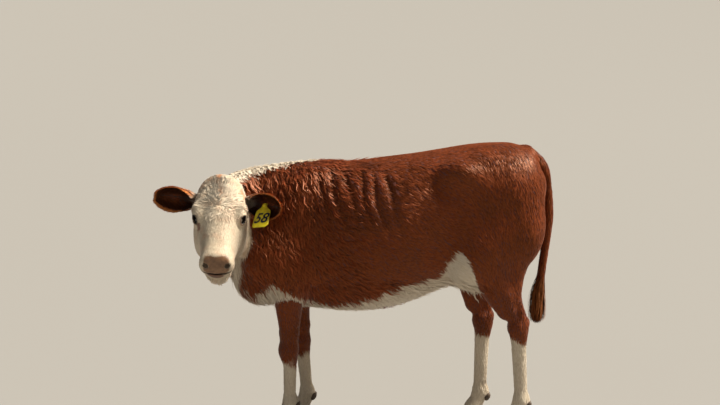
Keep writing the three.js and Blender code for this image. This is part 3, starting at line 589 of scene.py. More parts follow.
def surface_net(field, low, high):
    """A closed quad mesh round the place where the field is zero, one point to each grid cell."""
    values = field_grid(field, low, high)
    inside = values < 0
    n = np.array(inside.shape)
    corners = np.array([[i, j, k] for i in (0, 1) for j in (0, 1) for k in (0, 1)])
    filled = sum(
        inside[i:n[0] - 1 + i, j:n[1] - 1 + j, k:n[2] - 1 + k].astype(np.int8)
        for i, j, k in corners
    )
    cells = np.argwhere((filled > 0) & (filled < 8))
    number = -np.ones(filled.shape, int)
    number[tuple(cells.T)] = np.arange(len(cells))
    at = np.stack([values[tuple((cells + corner).T)] for corner in corners], 1)
    total = np.zeros((len(cells), 3))
    crossings = np.zeros(len(cells))
    for a in range(8):
        for b in range(a + 1, 8):
            if np.abs(corners[a] - corners[b]).sum() != 1:
                continue
            crossed = (at[:, a] < 0) != (at[:, b] < 0)
            va, vb = at[crossed, a], at[crossed, b]
            t = (va / (va - vb))[:, None]
            total[crossed] += corners[a] + t * (corners[b] - corners[a])
            crossings[crossed] += 1
    points = np.asarray(low, float) + (cells + total / crossings[:, None]) * CELL
    quads = []
    for axis in range(3):
        one, two = np.eye(3, dtype=int)[(axis + 1) % 3], np.eye(3, dtype=int)[(axis + 2) % 3]
        here = [slice(1, -1)] * 3
        there = [slice(1, -1)] * 3
        here[axis] = slice(0, -1)
        there[axis] = slice(1, None)
        a, b = inside[tuple(here)], inside[tuple(there)]
        for leaving in (True, False):
            edges = np.argwhere(a & ~b if leaving else ~a & b) + one + two
            ring = [number[tuple((edges - step).T)] for step in (one + two, two, 0 * one, one)]
            quads.append(np.stack(ring if leaving else ring[::-1], 1))
    return points, np.concatenate(quads)


def slope_of(field, p, reach=0.6):
    """Which way the field rises, and how fast, at each place."""
    steps = np.eye(3) * reach
    return np.stack([(field(p + step) - field(p - step)) / (2 * reach) for step in steps], 1)


def settled(field, p, rounds=2):
    """The points moved onto the place where the field is zero, and their normals."""
    p = p.copy()
    for _ in range(rounds):
        g = slope_of(field, p)
        move = (field(p) / np.maximum((g * g).sum(1), 0.2))[:, None] * g
        p -= np.clip(move, -CELL, CELL)
    return p, unit(slope_of(field, p))


def face_part(p):
    """Where the hide has finer faces: the whole head."""
    q = to_head(p)
    return (off_head(p) < 16) & (q[:, 1] > -45)


def feature_part(p):
    """Where they are finer still: round the eyes, the nostrils and the mouth."""
    q = to_head(p)
    m = paired(q)
    eye = np.linalg.norm(m - EYE, axis=1) < 42
    nostril = np.linalg.norm(m - NOSTRIL[0], axis=1) < 30
    mouth = (q[:, 1] > 336) & (np.abs(q[:, 2] - MOUTH[0][2]) < 16)
    return face_part(p) & (eye | nostril | mouth)


def vertex_places(mesh):
    """The mesh's points as an array."""
    flat = np.empty(len(mesh.vertices) * 3)
    mesh.vertices.foreach_get("co", flat)
    return flat.reshape(-1, 3)


def halved(mesh, chosen):
    """Splits the faces whose points are chosen, once each way."""
    bm = bmesh.new()
    bm.from_mesh(mesh)
    bm.verts.ensure_lookup_table()
    edges = [e for e in bm.edges if chosen[e.verts[0].index] and chosen[e.verts[1].index]]
    bmesh.ops.subdivide_edges(bm, edges=edges, cuts=1, use_grid_fill=True)
    bm.to_mesh(mesh)
    bm.free()


def relaxed(mesh, p, amount=0.5):
    """Each point moved part of the way to the middle of its neighbours."""
    pairs = np.empty(len(mesh.edges) * 2, int)
    mesh.edges.foreach_get("vertices", pairs)
    pairs = pairs.reshape(-1, 2)
    total = np.zeros_like(p)
    count = np.zeros(len(p))
    for a, b in ((0, 1), (1, 0)):
        np.add.at(total, pairs[:, a], p[pairs[:, b]])
        np.add.at(count, pairs[:, a], 1)
    return p + amount * (total / np.maximum(count, 1)[:, None] - p)


def body_mesh():
    """The hide without its ears, as a mesh in millimetres, with the normals at its points."""
    points, quads = surface_net(skin_field, HIDE_LOW, HIDE_HIGH)
    mesh = bpy.data.meshes.new("body")
    mesh.from_pydata(points.tolist(), [], quads.tolist())
    places, normals = settled(skin_field, relaxed(mesh, vertex_places(mesh)))
    for part in (face_part, feature_part):
        mesh.vertices.foreach_set("co", places.ravel())
        halved(mesh, part(places))
        places, normals = settled(skin_field, relaxed(mesh, vertex_places(mesh), 0.35))
    mesh.vertices.foreach_set("co", places.ravel())
    return mesh, places, normals


# ---------- ears
class Ear:
    """The cup of one ear: s runs from base to tip, u from rim to rim, out from the inside."""

    def __init__(self, name):
        base, tip, face = EARS[name]
        self.start = from_head(base)
        way = from_head(tip) - self.start
        self.length = np.linalg.norm(way)
        self.along = way / self.length
        front = np.array(face)
        self.front = unit(front - (front @ self.along) * self.along)
        self.across = np.cross(self.along, self.front)

    def at(self, s, u, out=0.0):
        width = through(s, EAR_WIDTH[:, 0], EAR_WIDTH[:, 1])
        curl = np.radians(through(s, EAR_CURL[:, 0], EAR_CURL[:, 1]))
        radius = width / np.sin(np.minimum(curl, math.pi / 2))
        depth = (radius + out) * np.cos(curl * u) - radius * np.cos(curl)
        sideways = (radius + out) * np.sin(curl * u)
        return (
            self.start
            + (s * self.length)[..., None] * self.along
            + sideways[..., None] * self.across
            - depth[..., None] * self.front
        )

    def frame(self, s, u, outside):
        """Normal and the direction to the tip, on the inside or the outside of the cup."""
        step = 0.01
        to_tip = unit(self.at(s + step, u) - self.at(s - step, u))
        round_cup = unit(self.at(s, u + step) - self.at(s, u - step))
        normal = unit(np.cross(round_cup, to_tip))
        inward = self.at(s, u, 0.0) - self.at(s, u, 1.0)
        normal = normal * np.sign((normal * inward).sum(-1, keepdims=True))
        return (-normal if outside else normal), to_tip


EAR_ALONG = 30
EAR_ROUND = 17


def ear_sheet(name):
    """Points, faces, and (s, share of inside) of one ear's skin, closed at both ends."""
    ear = Ear(name)
    thin = COAT_DEPTH["ear"]
    rows, shares = [], []
    for s in np.linspace(0, 0.985, EAR_ALONG):
        u = np.linspace(-0.95, 0.95, EAR_ROUND)
        station = np.full_like(u, s)
        inner = ear.at(station, u, thin)
        outer = ear.at(station, u, EAR_THICKNESS - thin)[::-1]
        rim = ear.at(np.full(2, s), np.array([0.985, -0.985]), np.full(2, EAR_THICKNESS / 2))
        rows.append(np.concatenate([inner, rim[:1], outer, rim[1:]]))
        inside = np.concatenate([np.ones(EAR_ROUND), [0.3], np.zeros(EAR_ROUND), [0.3]])
        shares.append(np.stack([np.full(len(inside), s), inside], 1))
    return *rings_mesh(rows), np.concatenate(shares + [[[0, 0]], [[1, 0.3]]])


def outward(points, faces):
    """The faces turned so that the closed form's volume is positive."""
    volume = sum(
        np.dot(points[f[0]], np.cross(points[f[k]], points[f[k + 1]]))
        for f in faces for k in range(1, len(f) - 1)
    )
    return faces if volume > 0 else [tuple(reversed(f)) for f in faces]


# ---------- markings
# Height of the white underline and of the patch in front of the thigh, as y and height.
UNDERLINE = np.array([
    [-640, 540], [-540, 556], [-500, 586], [-470, 612], [-430, 604], [-374, 566], [-250, 528],
    [-55, 566],
    [67, 604], [118, 620], [175, 632], [198, 648], [214, 690], [244, 728], [280, 724], [296, 692],
    [314, 660], [328, 606], [400, 600],
], float)
# The back edge of the white throat and cheek, as height and y.
CHEEK_EDGE = np.array([
    [560, -604], [640, -592], [700, -578], [760, -564], [834, -552], [880, -554], [940, -576],
    [1010, -612], [1080, -622],
], float)
# Half width of the white crest, as y and width.
CREST = np.array([[-700, 27], [-560, 29], [-470, 29], [-400, 25], [-330, 16], [-290, 0]], float)
SOCK_TOP = {"foreleg": 300, "hindleg": 372}
CHEST_HALF = 62  # half width of the white strip down the chest
BRISKET = {"half": 74, "top": 652, "front": -640, "back": -380}
# Places on the head: the muzzle's bare pad as its height and half sizes, and where it starts,
# then the lower lip and the mark under the right eye as centre and radii.
PAD = {"height": -43, "half": (50, 32), "start": 362, "full": 381}
# The lower lip is bare skin, darkened in part with painted shade under the muzzle.
LOWER_LIP = ((-4, 398, -92), (34, 36, 15))
TEAR_MARK = ((-79, 200, -42), (9, 14, 20))
LID_EDGE = 1.1  # on the lids' ring: where the wet dark edge is full
LID_SKIN = 1.34  # where it ends and the bare skin is full
LID_HAIR = 1.5  # where the hair begins
MARKS = ("white", "tan", "dark", "bare")


def crest_share(p):
    """White along the top of the neck."""
    across, rise, _over, size = on_neck(p)
    half = through(p[:, 1], CREST[:, 0], CREST[:, 1])
    on_top = rise > size[:, 1] * 0.7
    edge = ripple(p, 26, 21) * 5
    share = smooth(half + edge - np.abs(across), -4, 4)
    return share * on_top * (p[:, 1] < CREST[-1, 0])


def white_share(p, beyond_head):
    """White of the face, throat, chest, underline, socks and crest, with wandering edges."""
    y, z = p[:, 1], p[:, 2]
    edge = ripple(p, 30, 22)
    head = smooth(beyond_head, 20, 12)
    cheek_line = through(z, CHEEK_EDGE[:, 0], CHEEK_EDGE[:, 1])
    from_middle = np.abs(p[:, 0]) + 14 * edge
    chest_strip = smooth(z, 760, 700) * smooth(from_middle, CHEST_HALF + 12, CHEST_HALF)
    brisket = smooth(from_middle, BRISKET["half"] + 10, BRISKET["half"])
    brisket = brisket * smooth(z, BRISKET["top"] + 16, BRISKET["top"])
    brisket = brisket * (y < BRISKET["back"]) * (y > BRISKET["front"])
    throat = smooth(cheek_line + 4 * edge - y, -4, 4) * np.maximum(p[:, 0] > 60, chest_strip)
    under = through(y, UNDERLINE[:, 0], UNDERLINE[:, 1])
    belly = smooth(under + 7 * edge - z, -5, 5) * (y < 400) * (z > 520 - 0.25 * np.abs(y))
    on_trunk = trunk_field(p) < 30
    socks = np.maximum(
        smooth(SOCK_TOP["foreleg"] + 12 * edge - z, -6, 6) * (y < 0),
        smooth(SOCK_TOP["hindleg"] + 14 * edge - z, -6, 6) * (y > 0),
    )
    under_parts = np.maximum(belly, brisket) * on_trunk
    share = np.maximum(np.maximum(head, throat), np.maximum(under_parts, socks))
    return np.maximum(share, crest_share(p))


def tan_streaks(q):
    """Tan hair on the poll, in its fold and down the parting, and a tan streak of painted shade in
    the hollow of the left temple by the ear.
    """
    poll_tuft = bump_at(q[:, 0], -6, 9) * bump_at(q[:, 1], 4, 24) * smooth(q[:, 2], -40, -5)
    poll_fold = bump_at(q[:, 1] - 14 + 0.1 * q[:, 0], 0, 6) * bump_at(q[:, 0], -42, 20)
    temple_painted_shade = bump_at(q[:, 0] - 63 - 0.6 * (q[:, 1] - 42), 0, 8) * bump_at(q[:, 1], 66, 26)
    parting = bump_at(q[:, 0], 2 * np.sin(q[:, 1] / 14), 3) * bump_at(q[:, 1], 92, 44)
    return 0.75 * poll_tuft + 0.6 * poll_fold + 0.75 * temple_painted_shade + 0.35 * parting


def markings(p):
    """Shares, from 0 to 1, of white and tan hair, the lids' dark edges, painted shade in the mouth,
    the nostrils and on the lower lip, and bare skin at each place.
    """
    q = to_head(p)
    m = paired(q)
    beyond = off_head(p)
    on_head = smooth(beyond, 20, 8)
    across, up = q[:, 0] / PAD["half"][0], (q[:, 2] - PAD["height"]) / PAD["half"][1]
    pad = 1 - smooth(np.hypot(across ** 2, up ** 2), 0.84, 1.14)
    pad = pad * smooth(q[:, 1], PAD["start"], PAD["full"])
    lip = smooth(ellipsoid(q, *LOWER_LIP), 3, -3)
    ring = lid_ring((m - EYE) @ EYE_AXES.T)
    near_eye = np.linalg.norm(m - EYE, axis=1) < 34
    lids = smooth(ring, LID_HAIR, LID_SKIN) * near_eye
    lid_edge = smooth(ring, LID_SKIN, LID_EDGE) * near_eye
    mouth = smooth(ellipsoid(q, MOUTH[0], MOUTH[1]), 3.5, 0.5)
    nostril = smooth(ellipsoid(m, NOSTRIL[0], NOSTRIL[1]), 2.5, -1)
    # Painted shade: the mouth's slit and the nostrils are darkened to near black, and the lower lip
    # in part; the lids' edges are dark skin.
    dark = np.maximum(np.maximum(mouth * 0.9, 0.45 * lip), np.maximum(nostril, lid_edge))
    tear = smooth(ellipsoid(q, *TEAR_MARK) + 3 * ripple(p, 9, 24), 4, -4) * on_head
    return {
        "white": white_share(p, beyond) * (1 - 0.8 * tear) * (1 - lip * on_head),
        "tan": np.clip(tan_streaks(q) + 0.14 * ripple(p, 24, 23), 0, 1) * on_head,
        "dark": dark * on_head,
        "bare": np.maximum(np.maximum(pad, lip), lids) * on_head,
    }


# ---------- lie of the coat
WHORL = np.array([0.0, 136.0])  # middle of the forehead's whorl: across and along the head
FALL = (0.38, -0.9)  # y and z of the way the neck's hair falls
WAVE = {"swing": 3.6, "pitch": 46}  # the curl of that hair
LOCK_APART = 15  # from one lock of the neck to the next


def head_lie(q):
    """Hair runs out from the whorl, down the face to the muzzle, and back over the cheeks."""
    l, a, n = q.T
    out = np.stack([l - WHORL[0], (a - WHORL[1]) * 1.1, np.zeros(len(q))], 1)
    out = unit(out)
    spin = np.stack([-out[:, 1], out[:, 0], np.zeros(len(q))], 1)
    near = bump_at(np.hypot(l, a - WHORL[1]), 0, 34)[:, None]
    whorl = unit(out + 0.8 * spin * near)
    nose = np.tile([0.0, 1.0, -0.1], (len(q), 1))
    nose[:, 0] = 0.5 * l / 80
    down = smooth(a, 150, 230)[:, None]
    front = whorl * (1 - down) + nose * down
    cheek = np.tile([0.0, -0.25, -1.0], (len(q), 1))
    on_cheek = (smooth(n, -50, -110) * smooth(a, 60, 120) * smooth(a, 375, 330))[:, None]
    chin = np.tile([0.0, -0.6, -0.8], (len(q), 1))
    on_chin = (smooth(n, -96, -120) * smooth(a, 300, 330))[:, None]
    way = front * (1 - on_cheek) + cheek * on_cheek
    return (way * (1 - on_chin) + chin * on_chin) @ HEAD_AXES


def lie_of_coat(p, normal):
    """The direction the hair runs in at each place, along the hide."""
    x, y, z = p.T
    outer = np.sign(x)
    trunk = np.stack([0.1 * outer, 0.85 + 0 * y, -0.5 + 0 * y], 1)
    wander = ripple(p, 120, 31) * 0.16
    trunk[:, 2] += wander
    haunch = np.stack([0.05 * outer, 0.3 + wander, -0.95 + 0 * y], 1)
    leg = np.stack([0 * x, 0.12 + 0 * y, -1 + 0 * y], 1)
    neck = np.stack([0.1 * outer, FALL[0] + 0.5 * wander, FALL[1] + 0 * y], 1)
    tail = np.tile([0.0, 0.0, -1.0], (len(p), 1))
    on_haunch = smooth(y, 250, 440)[:, None]
    on_leg = smooth(z, 640, 480)[:, None]
    on_neck_side = smooth(y, -150, -330)[:, None]
    on_tail = ((y > 530) & (tail_field(p) < 8))[:, None]
    way = trunk * (1 - on_haunch) + haunch * on_haunch
    way = way * (1 - on_neck_side) + neck * on_neck_side
    way = np.where((np.abs(x) > 60)[:, None], way * (1 - on_leg) + leg * on_leg, way)
    way = np.where(on_tail, tail, way)
    on_head = smooth(off_head(p), 22, 6)[:, None]
    way = way * (1 - on_head) + head_lie(to_head(p)) * on_head
    return unit(way - (way * normal).sum(1, keepdims=True) * normal)


def curl_phase(p, parts, pitch):
    """How far along its curl the hair is: curls run down the neck, and out from the whorl."""
    down = FALL[0] * p[:, 1] + FALL[1] * p[:, 2]
    out = np.hypot(parts.q[:, 0] - WHORL[0], parts.q[:, 1] - WHORL[1])
    run = down * (1 - parts.head) + out * parts.head
    return run * 2 * math.pi / pitch + 2.2 * ripple(p, 80, 44)


def lock_ridge(p):
    """From -1 between the locks of the neck and shoulder to 1 along the middle of each."""
    down = FALL[0] * p[:, 1] + FALL[1] * p[:, 2]
    swing = WAVE["swing"] * np.sin(down * 2 * math.pi / WAVE["pitch"] + 2.2 * ripple(p, 80, 44))
    across = p[:, 1] - FALL[0] / FALL[1] * p[:, 2] + swing + 9 * ripple(p, 110, 45)
    return np.cos(across * 2 * math.pi / LOCK_APART)


# ---------- tufts
# Length, width and height of the tips above the hide, in mm, and tufts to a square centimetre.
COAT = {
    "trunk": (28, 3.6, 2.4, 2.95),
    "neck": (25, 3.6, 3.8, 3.0),
    "belly": (38, 3.8, 4.5, 2.7),
    "leg": (17, 3.0, 1.7, 3.8),
    "face": (10, 2.0, 1.3, 7.3),
    "tail": (26, 3.0, 2.8, 4.5),
}
SINK = 1.5  # how far a root starts below the hide
HOOF_TOP = 50  # height that no hair grows below
TUFT_STEPS = np.array([0, 0.42, 1])
TUFT_TAPER = np.array([0.7, 1.0])
LOCK_STEPS = np.array([0, 0.2, 0.41, 0.62, 0.82, 1])
LOCK_TAPER = np.array([0.55, 0.95, 1.0, 0.85, 0.55])
TUFT_RIDGE = 0.2  # height of a tuft's ridge as a share of its width
ROUNDING = 0.4  # how far a tuft's shading leans out at its two sides
TIPPING = 1.3  # how far whole tufts tip sideways in the light, by their tone
PATCH = 0.0015  # half the size of a tuft's patch on the unwrap


class Ground:
    """The triangles that hair grows on, ordered by place, with what is known of each."""

    BLOCK = 24

    def __init__(self, mesh, places, normals):
        mesh.calc_loop_triangles()
        corners = np.empty(len(mesh.loop_triangles) * 3, int)
        mesh.loop_triangles.foreach_get("vertices", corners)
        corners = corners.reshape(-1, 3)
        middle = places[corners].mean(1)
        order = np.lexsort(np.floor(middle / self.BLOCK).T)
        self.corners = corners[order]
        self.middle = middle[order]
        self.places = places
        self.normals = normals
        a, b, c = (places[self.corners[:, k]] for k in range(3))
        self.area = 0.5 * np.linalg.norm(np.cross(b - a, c - a), axis=1)

    def scatter(self, per_area, rng):
        """Evenly spread roots, `per_area` of them to a square millimetre of each triangle."""
        total = np.cumsum(self.area * per_area)
        count = int(total[-1])
        chosen = np.searchsorted(total, (np.arange(count) + rng.random(count)) / count * total[-1])
        chosen = np.minimum(chosen, len(total) - 1)
        a, b = rng.random((2, count))
        over = a + b > 1
        a[over], b[over] = 1 - a[over], 1 - b[over]
        share = np.stack([1 - a - b, a, b], 1)[:, :, None]
        corners = self.corners[chosen]
        root = (self.places[corners] * share).sum(1)
        return root, unit((self.normals[corners] * share).sum(1))


class Strands:
    """Centre lines of tufts or locks, with the sizes and colours that go with each."""

    def __init__(self, lines, normal, side, width, taper, colours, tone, unwrap):
        self.lines = lines
        self.normal = normal
        self.side = side
        self.width = width
        self.taper = taper
        self.colours = colours
        self.tone = tone
        self.unwrap = unwrap

    def only(self, chosen):
        """The strands that are chosen."""
        colours = {name: values[chosen] for name, values in self.colours.items()}
        return Strands(
            self.lines[chosen], self.normal[chosen], self.side[chosen], self.width[chosen],
            self.taper, colours, self.tone[chosen], self.unwrap[chosen],
        )


def strand_faces(count, rings):
    """Faces of `count` closed three-sided strands: walls, tips and roots, as corner lists."""
    first = (np.arange(count) * (3 * rings + 1))[:, None]
    walls, tips = [], []
    for corner in range(3):
        after = (corner + 1) % 3
        for r in range(rings - 1):
            low, high = 3 * r, 3 * r + 3
            walls.append(first + [low + corner, low + after, high + after, high + corner])
        last = 3 * (rings - 1)
        tips.append(first + [last + corner, last + after, 3 * rings])
    roots = first + [0, 2, 1]
    return np.concatenate(walls), np.concatenate(tips + [roots])


def mesh_from(name, points, quads, triangles):
    """A smooth mesh from points in millimetres and arrays of four- and three-sided faces."""
    mesh = bpy.data.meshes.new(name)
    mesh.vertices.add(len(points))
    mesh.vertices.foreach_set("co", to_frame(points).ravel())
    loops = np.concatenate([quads.ravel(), triangles.ravel()])
    mesh.loops.add(len(loops))
    mesh.loops.foreach_set("vertex_index", loops)
    sizes = np.concatenate([np.full(len(quads), 4), np.full(len(triangles), 3)])
    mesh.polygons.add(len(sizes))
    mesh.polygons.foreach_set("loop_start", np.concatenate([[0], np.cumsum(sizes)[:-1]]))
    mesh.polygons.foreach_set("loop_total", sizes)
    mesh.polygons.foreach_set("use_smooth", np.ones(len(sizes), bool))
    mesh.update(calc_edges=True)
    return mesh, loops


def corner_normals(strands, rings):
    """Normals for the corners of strand_faces: light falls on a strand's upper faces as it does
    on the hide below, a little rounder, and its under face looks down at the hide."""
    lean = (-ROUNDING * strands.side, ROUNDING * strands.side, 0 * strands.side)
    tipped = strands.normal + strands.side * (TIPPING * (strands.tone - 0.5))[:, None]

    def at(face, corner):
        return unit((-strands.normal if face == 0 else tipped) + lean[corner])

    walls, tips = [], []
    for face in range(3):
        one, two = at(face, face), at(face, (face + 1) % 3)
        walls += [np.stack([one, two, two, one], 1)] * (rings - 1)
        tips.append(np.stack([one, two, at(face, 2)], 1))
    back = unit(strands.lines[:, 0] - strands.lines[:, -1])
    roots = np.stack([back] * 3, 1)
    return np.concatenate([np.concatenate(part).reshape(-1, 3) for part in (walls, tips + [roots])])


def keep_shares(mesh, shares):
    """Numbers kept at the points of a mesh for its material to read."""
    for name, values in shares.items():
        layer = mesh.attributes.new(name, "FLOAT", "POINT")
        layer.data.foreach_set("value", np.ascontiguousarray(values, np.float32).ravel())


def strand_piece(name, strands, material):
    """One object of closed tapered strands, each with a small patch of the unwrap to itself."""
    count, points, _ = strands.lines.shape
    rings = points - 1
    half = (strands.width[:, None] * strands.taper[None, :] / 2)[..., None]
    middle = strands.lines[:, :-1]
    left = middle - strands.side[:, None] * half
    right = middle + strands.side[:, None] * half
    top = middle + strands.normal[:, None] * half * 2 * TUFT_RIDGE
    body = np.stack([left, right, top], 2).reshape(count, rings * 3, 3)
    points = np.concatenate([body, strands.lines[:, -1:]], 1).reshape(-1, 3)
    mesh, loops = mesh_from(name, points, *strand_faces(count, rings))
    mesh.normals_split_custom_set(corner_normals(strands, rings).astype(np.float32))
    per = 3 * rings + 1
    across = np.append(np.tile([-1.0, 1.0, 0.0], rings), 0.0)
    along = np.append(np.repeat(np.linspace(0, 1, rings + 1)[:-1], 3), 1.0)
    shares = {key: np.repeat(values, per) for key, values in strands.colours.items()}
    shares["tone"] = np.repeat(strands.tone, per)
    shares["across"] = np.tile(across, count)
    shares["along"] = np.tile(along, count)
    keep_shares(mesh, shares)
    patch = np.stack([across, along * 2 - 1], 1) * PATCH
    places = (strands.unwrap[:, None] + patch[None]).reshape(-1, 2)
    layer = mesh.uv_layers.new(name="OFBake")
    layer.data.foreach_set("uv", places[loops].astype(np.float32).ravel())
    mesh.materials.append(material)
    return placed(name, mesh)


def combed(root, normal, lie, length, height, steps, wave=0, pitch=30, phase=0, over=skin_field):
    """Centre lines that start under the hide and run along the lie, rising to the coat's depth."""
    side = np.cross(normal, lie)
    lines = [root - normal * SINK]
    for t in steps[1:]:
        reach = length * t
        swing = wave * (np.sin(reach * 2 * math.pi / pitch + phase) - np.sin(phase))
        lift = np.abs(wave) * 0.3 * np.cos(reach * 2 * math.pi / pitch + phase) * min(1, 2 * t)
        point = root + lie * reach[:, None] + side * swing[:, None]
        rise = height * t ** 0.7 + lift
        if over is not None:
            rise = rise - np.clip(over(point), -10, 10)
        lines.append(point + normal * rise[:, None])
    return np.stack(lines, 1), side


# ---------- unwraps of the hide
def turned(a, b):
    """The angle of (a, b) as a share of a turn."""
    return np.arctan2(a, b) / (2 * math.pi) + 0.5


def barrel_unwrap(p):
    """Along the back, and round the trunk or the neck."""
    middle = through(p[:, 1], TRUNK[:, 0], TRUNK[:, 4])
    return np.stack([(p[:, 1] + 800) / 1450, turned(p[:, 0], p[:, 2] - middle)], 1)


def head_unwrap(p):
    """Along the head and round it."""
    q = to_head(p)
    return np.stack([(q[:, 1] + 60) / 490, turned(q[:, 0], q[:, 2] + 80)], 1)


def leg_unwrap(p):
    """Round each leg and up it, one tile for the left legs and one for the right."""
    fore = p[:, 1] < 0
    side = np.where(p[:, 0] > 0, LEFT, RIGHT)
    x = np.abs(p[:, 0]) - 120
    stance = np.select(
        [fore & (side == LEFT), fore & (side == RIGHT), ~fore & (side == LEFT)],
        [STANCE["foreleg"][LEFT], STANCE["foreleg"][RIGHT], STANCE["hindleg"][LEFT]],
        STANCE["hindleg"][RIGHT],
    )
    axis = np.where(fore, -385, 500 - smooth(p[:, 2], 450, 700) * 130) + stance
    u = turned(x, p[:, 1] - axis)
    return np.stack([(u + (side == LEFT)) / 2, p[:, 2] / 800], 1)


def tail_unwrap(p):
    """Round the tail and up it."""
    return np.stack([turned(p[:, 0], p[:, 1] - 615), p[:, 2] / 1200], 1)


# ---------- the short coat
BODY_PIECES = (
    "coat_head", "coat_tail", "coat_forelegs", "coat_hindlegs", "coat_neck",
    "coat_shoulder_left", "coat_shoulder_right", "coat_haunch_left", "coat_haunch_right",
)
UNWRAPS = dict.fromkeys(BODY_PIECES, barrel_unwrap) | {
    "coat_head": head_unwrap,
    "coat_tail": tail_unwrap,
    "coat_forelegs": leg_unwrap,
    "coat_hindlegs": leg_unwrap,
}


class Parts:
    """Which part of the body each place is on."""

    def __init__(self, p, normal=None):
        y, z = p[:, 1], p[:, 2]
        self.q = to_head(p)
        self.off_head = off_head(p)
        self.head = smooth(self.off_head, 20, 6)
        self.tail = ((y > 525) & (tail_field(p) < 7)) * smooth(z, 1120, 1060)
        trunk = trunk_field(p)
        fore, hind = (
            only(z < 760, p, lambda part: leg_field(paired_legs(part), kind, LEFT))
            for kind in LEGS
        )
        leg = np.minimum(fore, hind)
        self.leg = smooth(trunk - leg, -6, 12) * smooth(z, 640, 560)
        self.neck = smooth(y, -250, -380) * (1 - self.head)
        self.belly = smooth(z, 640, 560) * (1 - self.leg) * (1 - self.head)
        if normal is not None:
            self.belly = self.belly * smooth(normal[:, 2], -0.1, -0.5)


def paired_legs(p):
    """The places carried to a left leg that stands where that leg's field has it."""
    x, y, z = p.T
    fore = y < 0
    shift = np.where(
        fore,
        (STANCE["foreleg"][LEFT] - STANCE["foreleg"][RIGHT]) * smooth(z, 640, 300),
        (STANCE["hindleg"][LEFT] - STANCE["hindleg"][RIGHT]) * smooth(z, 760, 380) * 0.95,
    )
    return np.stack([np.abs(x), np.where(x < 0, y + shift, y), z], 1)


def sizes_at(parts, column):
    """One column of the coat's table, carried smoothly from part to part."""
    value = np.full(len(parts.head), float(COAT["trunk"][column]))
    for name in ("neck", "belly", "leg", "tail"):
        share = getattr(parts, name)
        value = value * (1 - share) + COAT[name][column] * share
    return value * (1 - parts.head) + COAT["face"][column] * parts.head


def growing(marks, p):
    """Places where hair grows: not on the muzzle, the lids' edges or in the nostrils and mouth."""
    return (marks["bare"] < 0.35) & (marks["dark"] < 0.3) & (p[:, 2] > HOOF_TOP)


def clear_of_eye(root, lie, length):
    """The lengths cut so that no hair crosses the lids onto the eye."""
    q = paired(to_head(root))
    near = np.linalg.norm(q - EYE, axis=1) < 75
    cut = np.ones(len(root))
    for share in (0.25, 0.45, 0.65, 0.85, 1.0):
        tip = paired(to_head(root[near] + lie[near] * (length[near] * share)[:, None]))
        local = (tip - EYE) @ EYE_AXES.T
        over = (lid_ring(local) < LID_HAIR) & (local[:, 2] > -10)
        cut[near] = np.where(over, np.minimum(cut[near], 0.8 * share), cut[near])
    return length * cut


def roots_on(ground, density, rng):
    """Roots of hair, their normals and marks: `density` gives hairs to a square centimetre."""
    parts = Parts(ground.middle, ground.normals[ground.corners[:, 0]])
    root, normal = ground.scatter(density(ground.middle, parts) / 100, rng)
    marks = markings(root)
    kept = growing(marks, root)
    return root[kept], normal[kept], {name: share[kept] for name, share in marks.items()}


def tufts_on(ground, rng):
    """The short coat over the whole body, divided into its pieces."""
    root, normal, colours = roots_on(ground, lambda _p, parts: sizes_at(parts, 3), rng)
    parts = Parts(root, normal)
    vary = rng.uniform(0.7, 1.3, len(root))
    length = sizes_at(parts, 0) * vary
    nose = parts.head * smooth(parts.q[:, 1], 260, 350)
    near_eye = parts.head * smooth(np.linalg.norm(paired(parts.q) - EYE, axis=1), 56, 30)
    length = length * (1 - 0.4 * np.maximum(nose, near_eye))
    height = sizes_at(parts, 2) * rng.uniform(0.55, 1.15, len(root))
    height = height * (1 - 0.5 * np.maximum(nose, near_eye))
    curly = smooth(root[:, 1], -60, -280) * (1 - parts.head) * (1 - parts.leg)
    ridge = lock_ridge(root) * curly
    height = height * (1 + 0.45 * ridge)
    lie = lie_of_coat(root, normal)
    curl = np.cos(curl_phase(root, parts, WAVE["pitch"]))
    slope = WAVE["swing"] * 2 * math.pi / WAVE["pitch"] * curl
    turn = rng.normal(0, 0.1, len(root)) + 0.12 * ripple(root, 45, 41) * (1 - curly)
    turn = turn - np.sign(root[:, 0]) * slope * curly
    side = np.cross(normal, lie)
    lie = unit(lie + side * turn[:, None])
    length = clear_of_eye(root, lie, length)
    lines, side = combed(root, normal, lie, length, height, TUFT_STEPS)
    # Painted shade and painted highlight: tufts are darker in the furrows of the shoulder's rolls
    # and the face's wrinkles, and lighter along the middle of each lock of the neck and shoulder.
    painted_furrow_shade = shoulder_folds(root) / FOLD["deep"] + 0.5 * parts.head * face_wrinkles(parts.q)
    tone = 0.5 + 0.13 * rng.normal(size=len(root)) + 0.15 * ripple(root, 70, 42)
    tone = np.clip(tone + 0.22 * ridge - 0.3 * painted_furrow_shade, 0, 1)
    code = np.select(
        [
            parts.head > 0.5,
            parts.tail > 0.5,
            (parts.leg > 0.5) & (root[:, 1] < 0),
            (parts.leg > 0.5) & (root[:, 1] > 0),
            root[:, 1] < -330,
            (root[:, 1] < 120) & (root[:, 0] > 0),
            root[:, 1] < 120,
            root[:, 0] > 0,
        ],
        range(len(BODY_PIECES) - 1),
        len(BODY_PIECES) - 1,
    )
    width = sizes_at(parts, 1) * np.sqrt(vary)
    unwrap = np.zeros((len(root), 2))
    for i, name in enumerate(BODY_PIECES):
        unwrap[code == i] = UNWRAPS[name](root[code == i])
    strands = Strands(lines, normal, side, width, TUFT_TAPER, colours, tone, unwrap)
    return {name: strands.only(code == i) for i, name in enumerate(BODY_PIECES)}


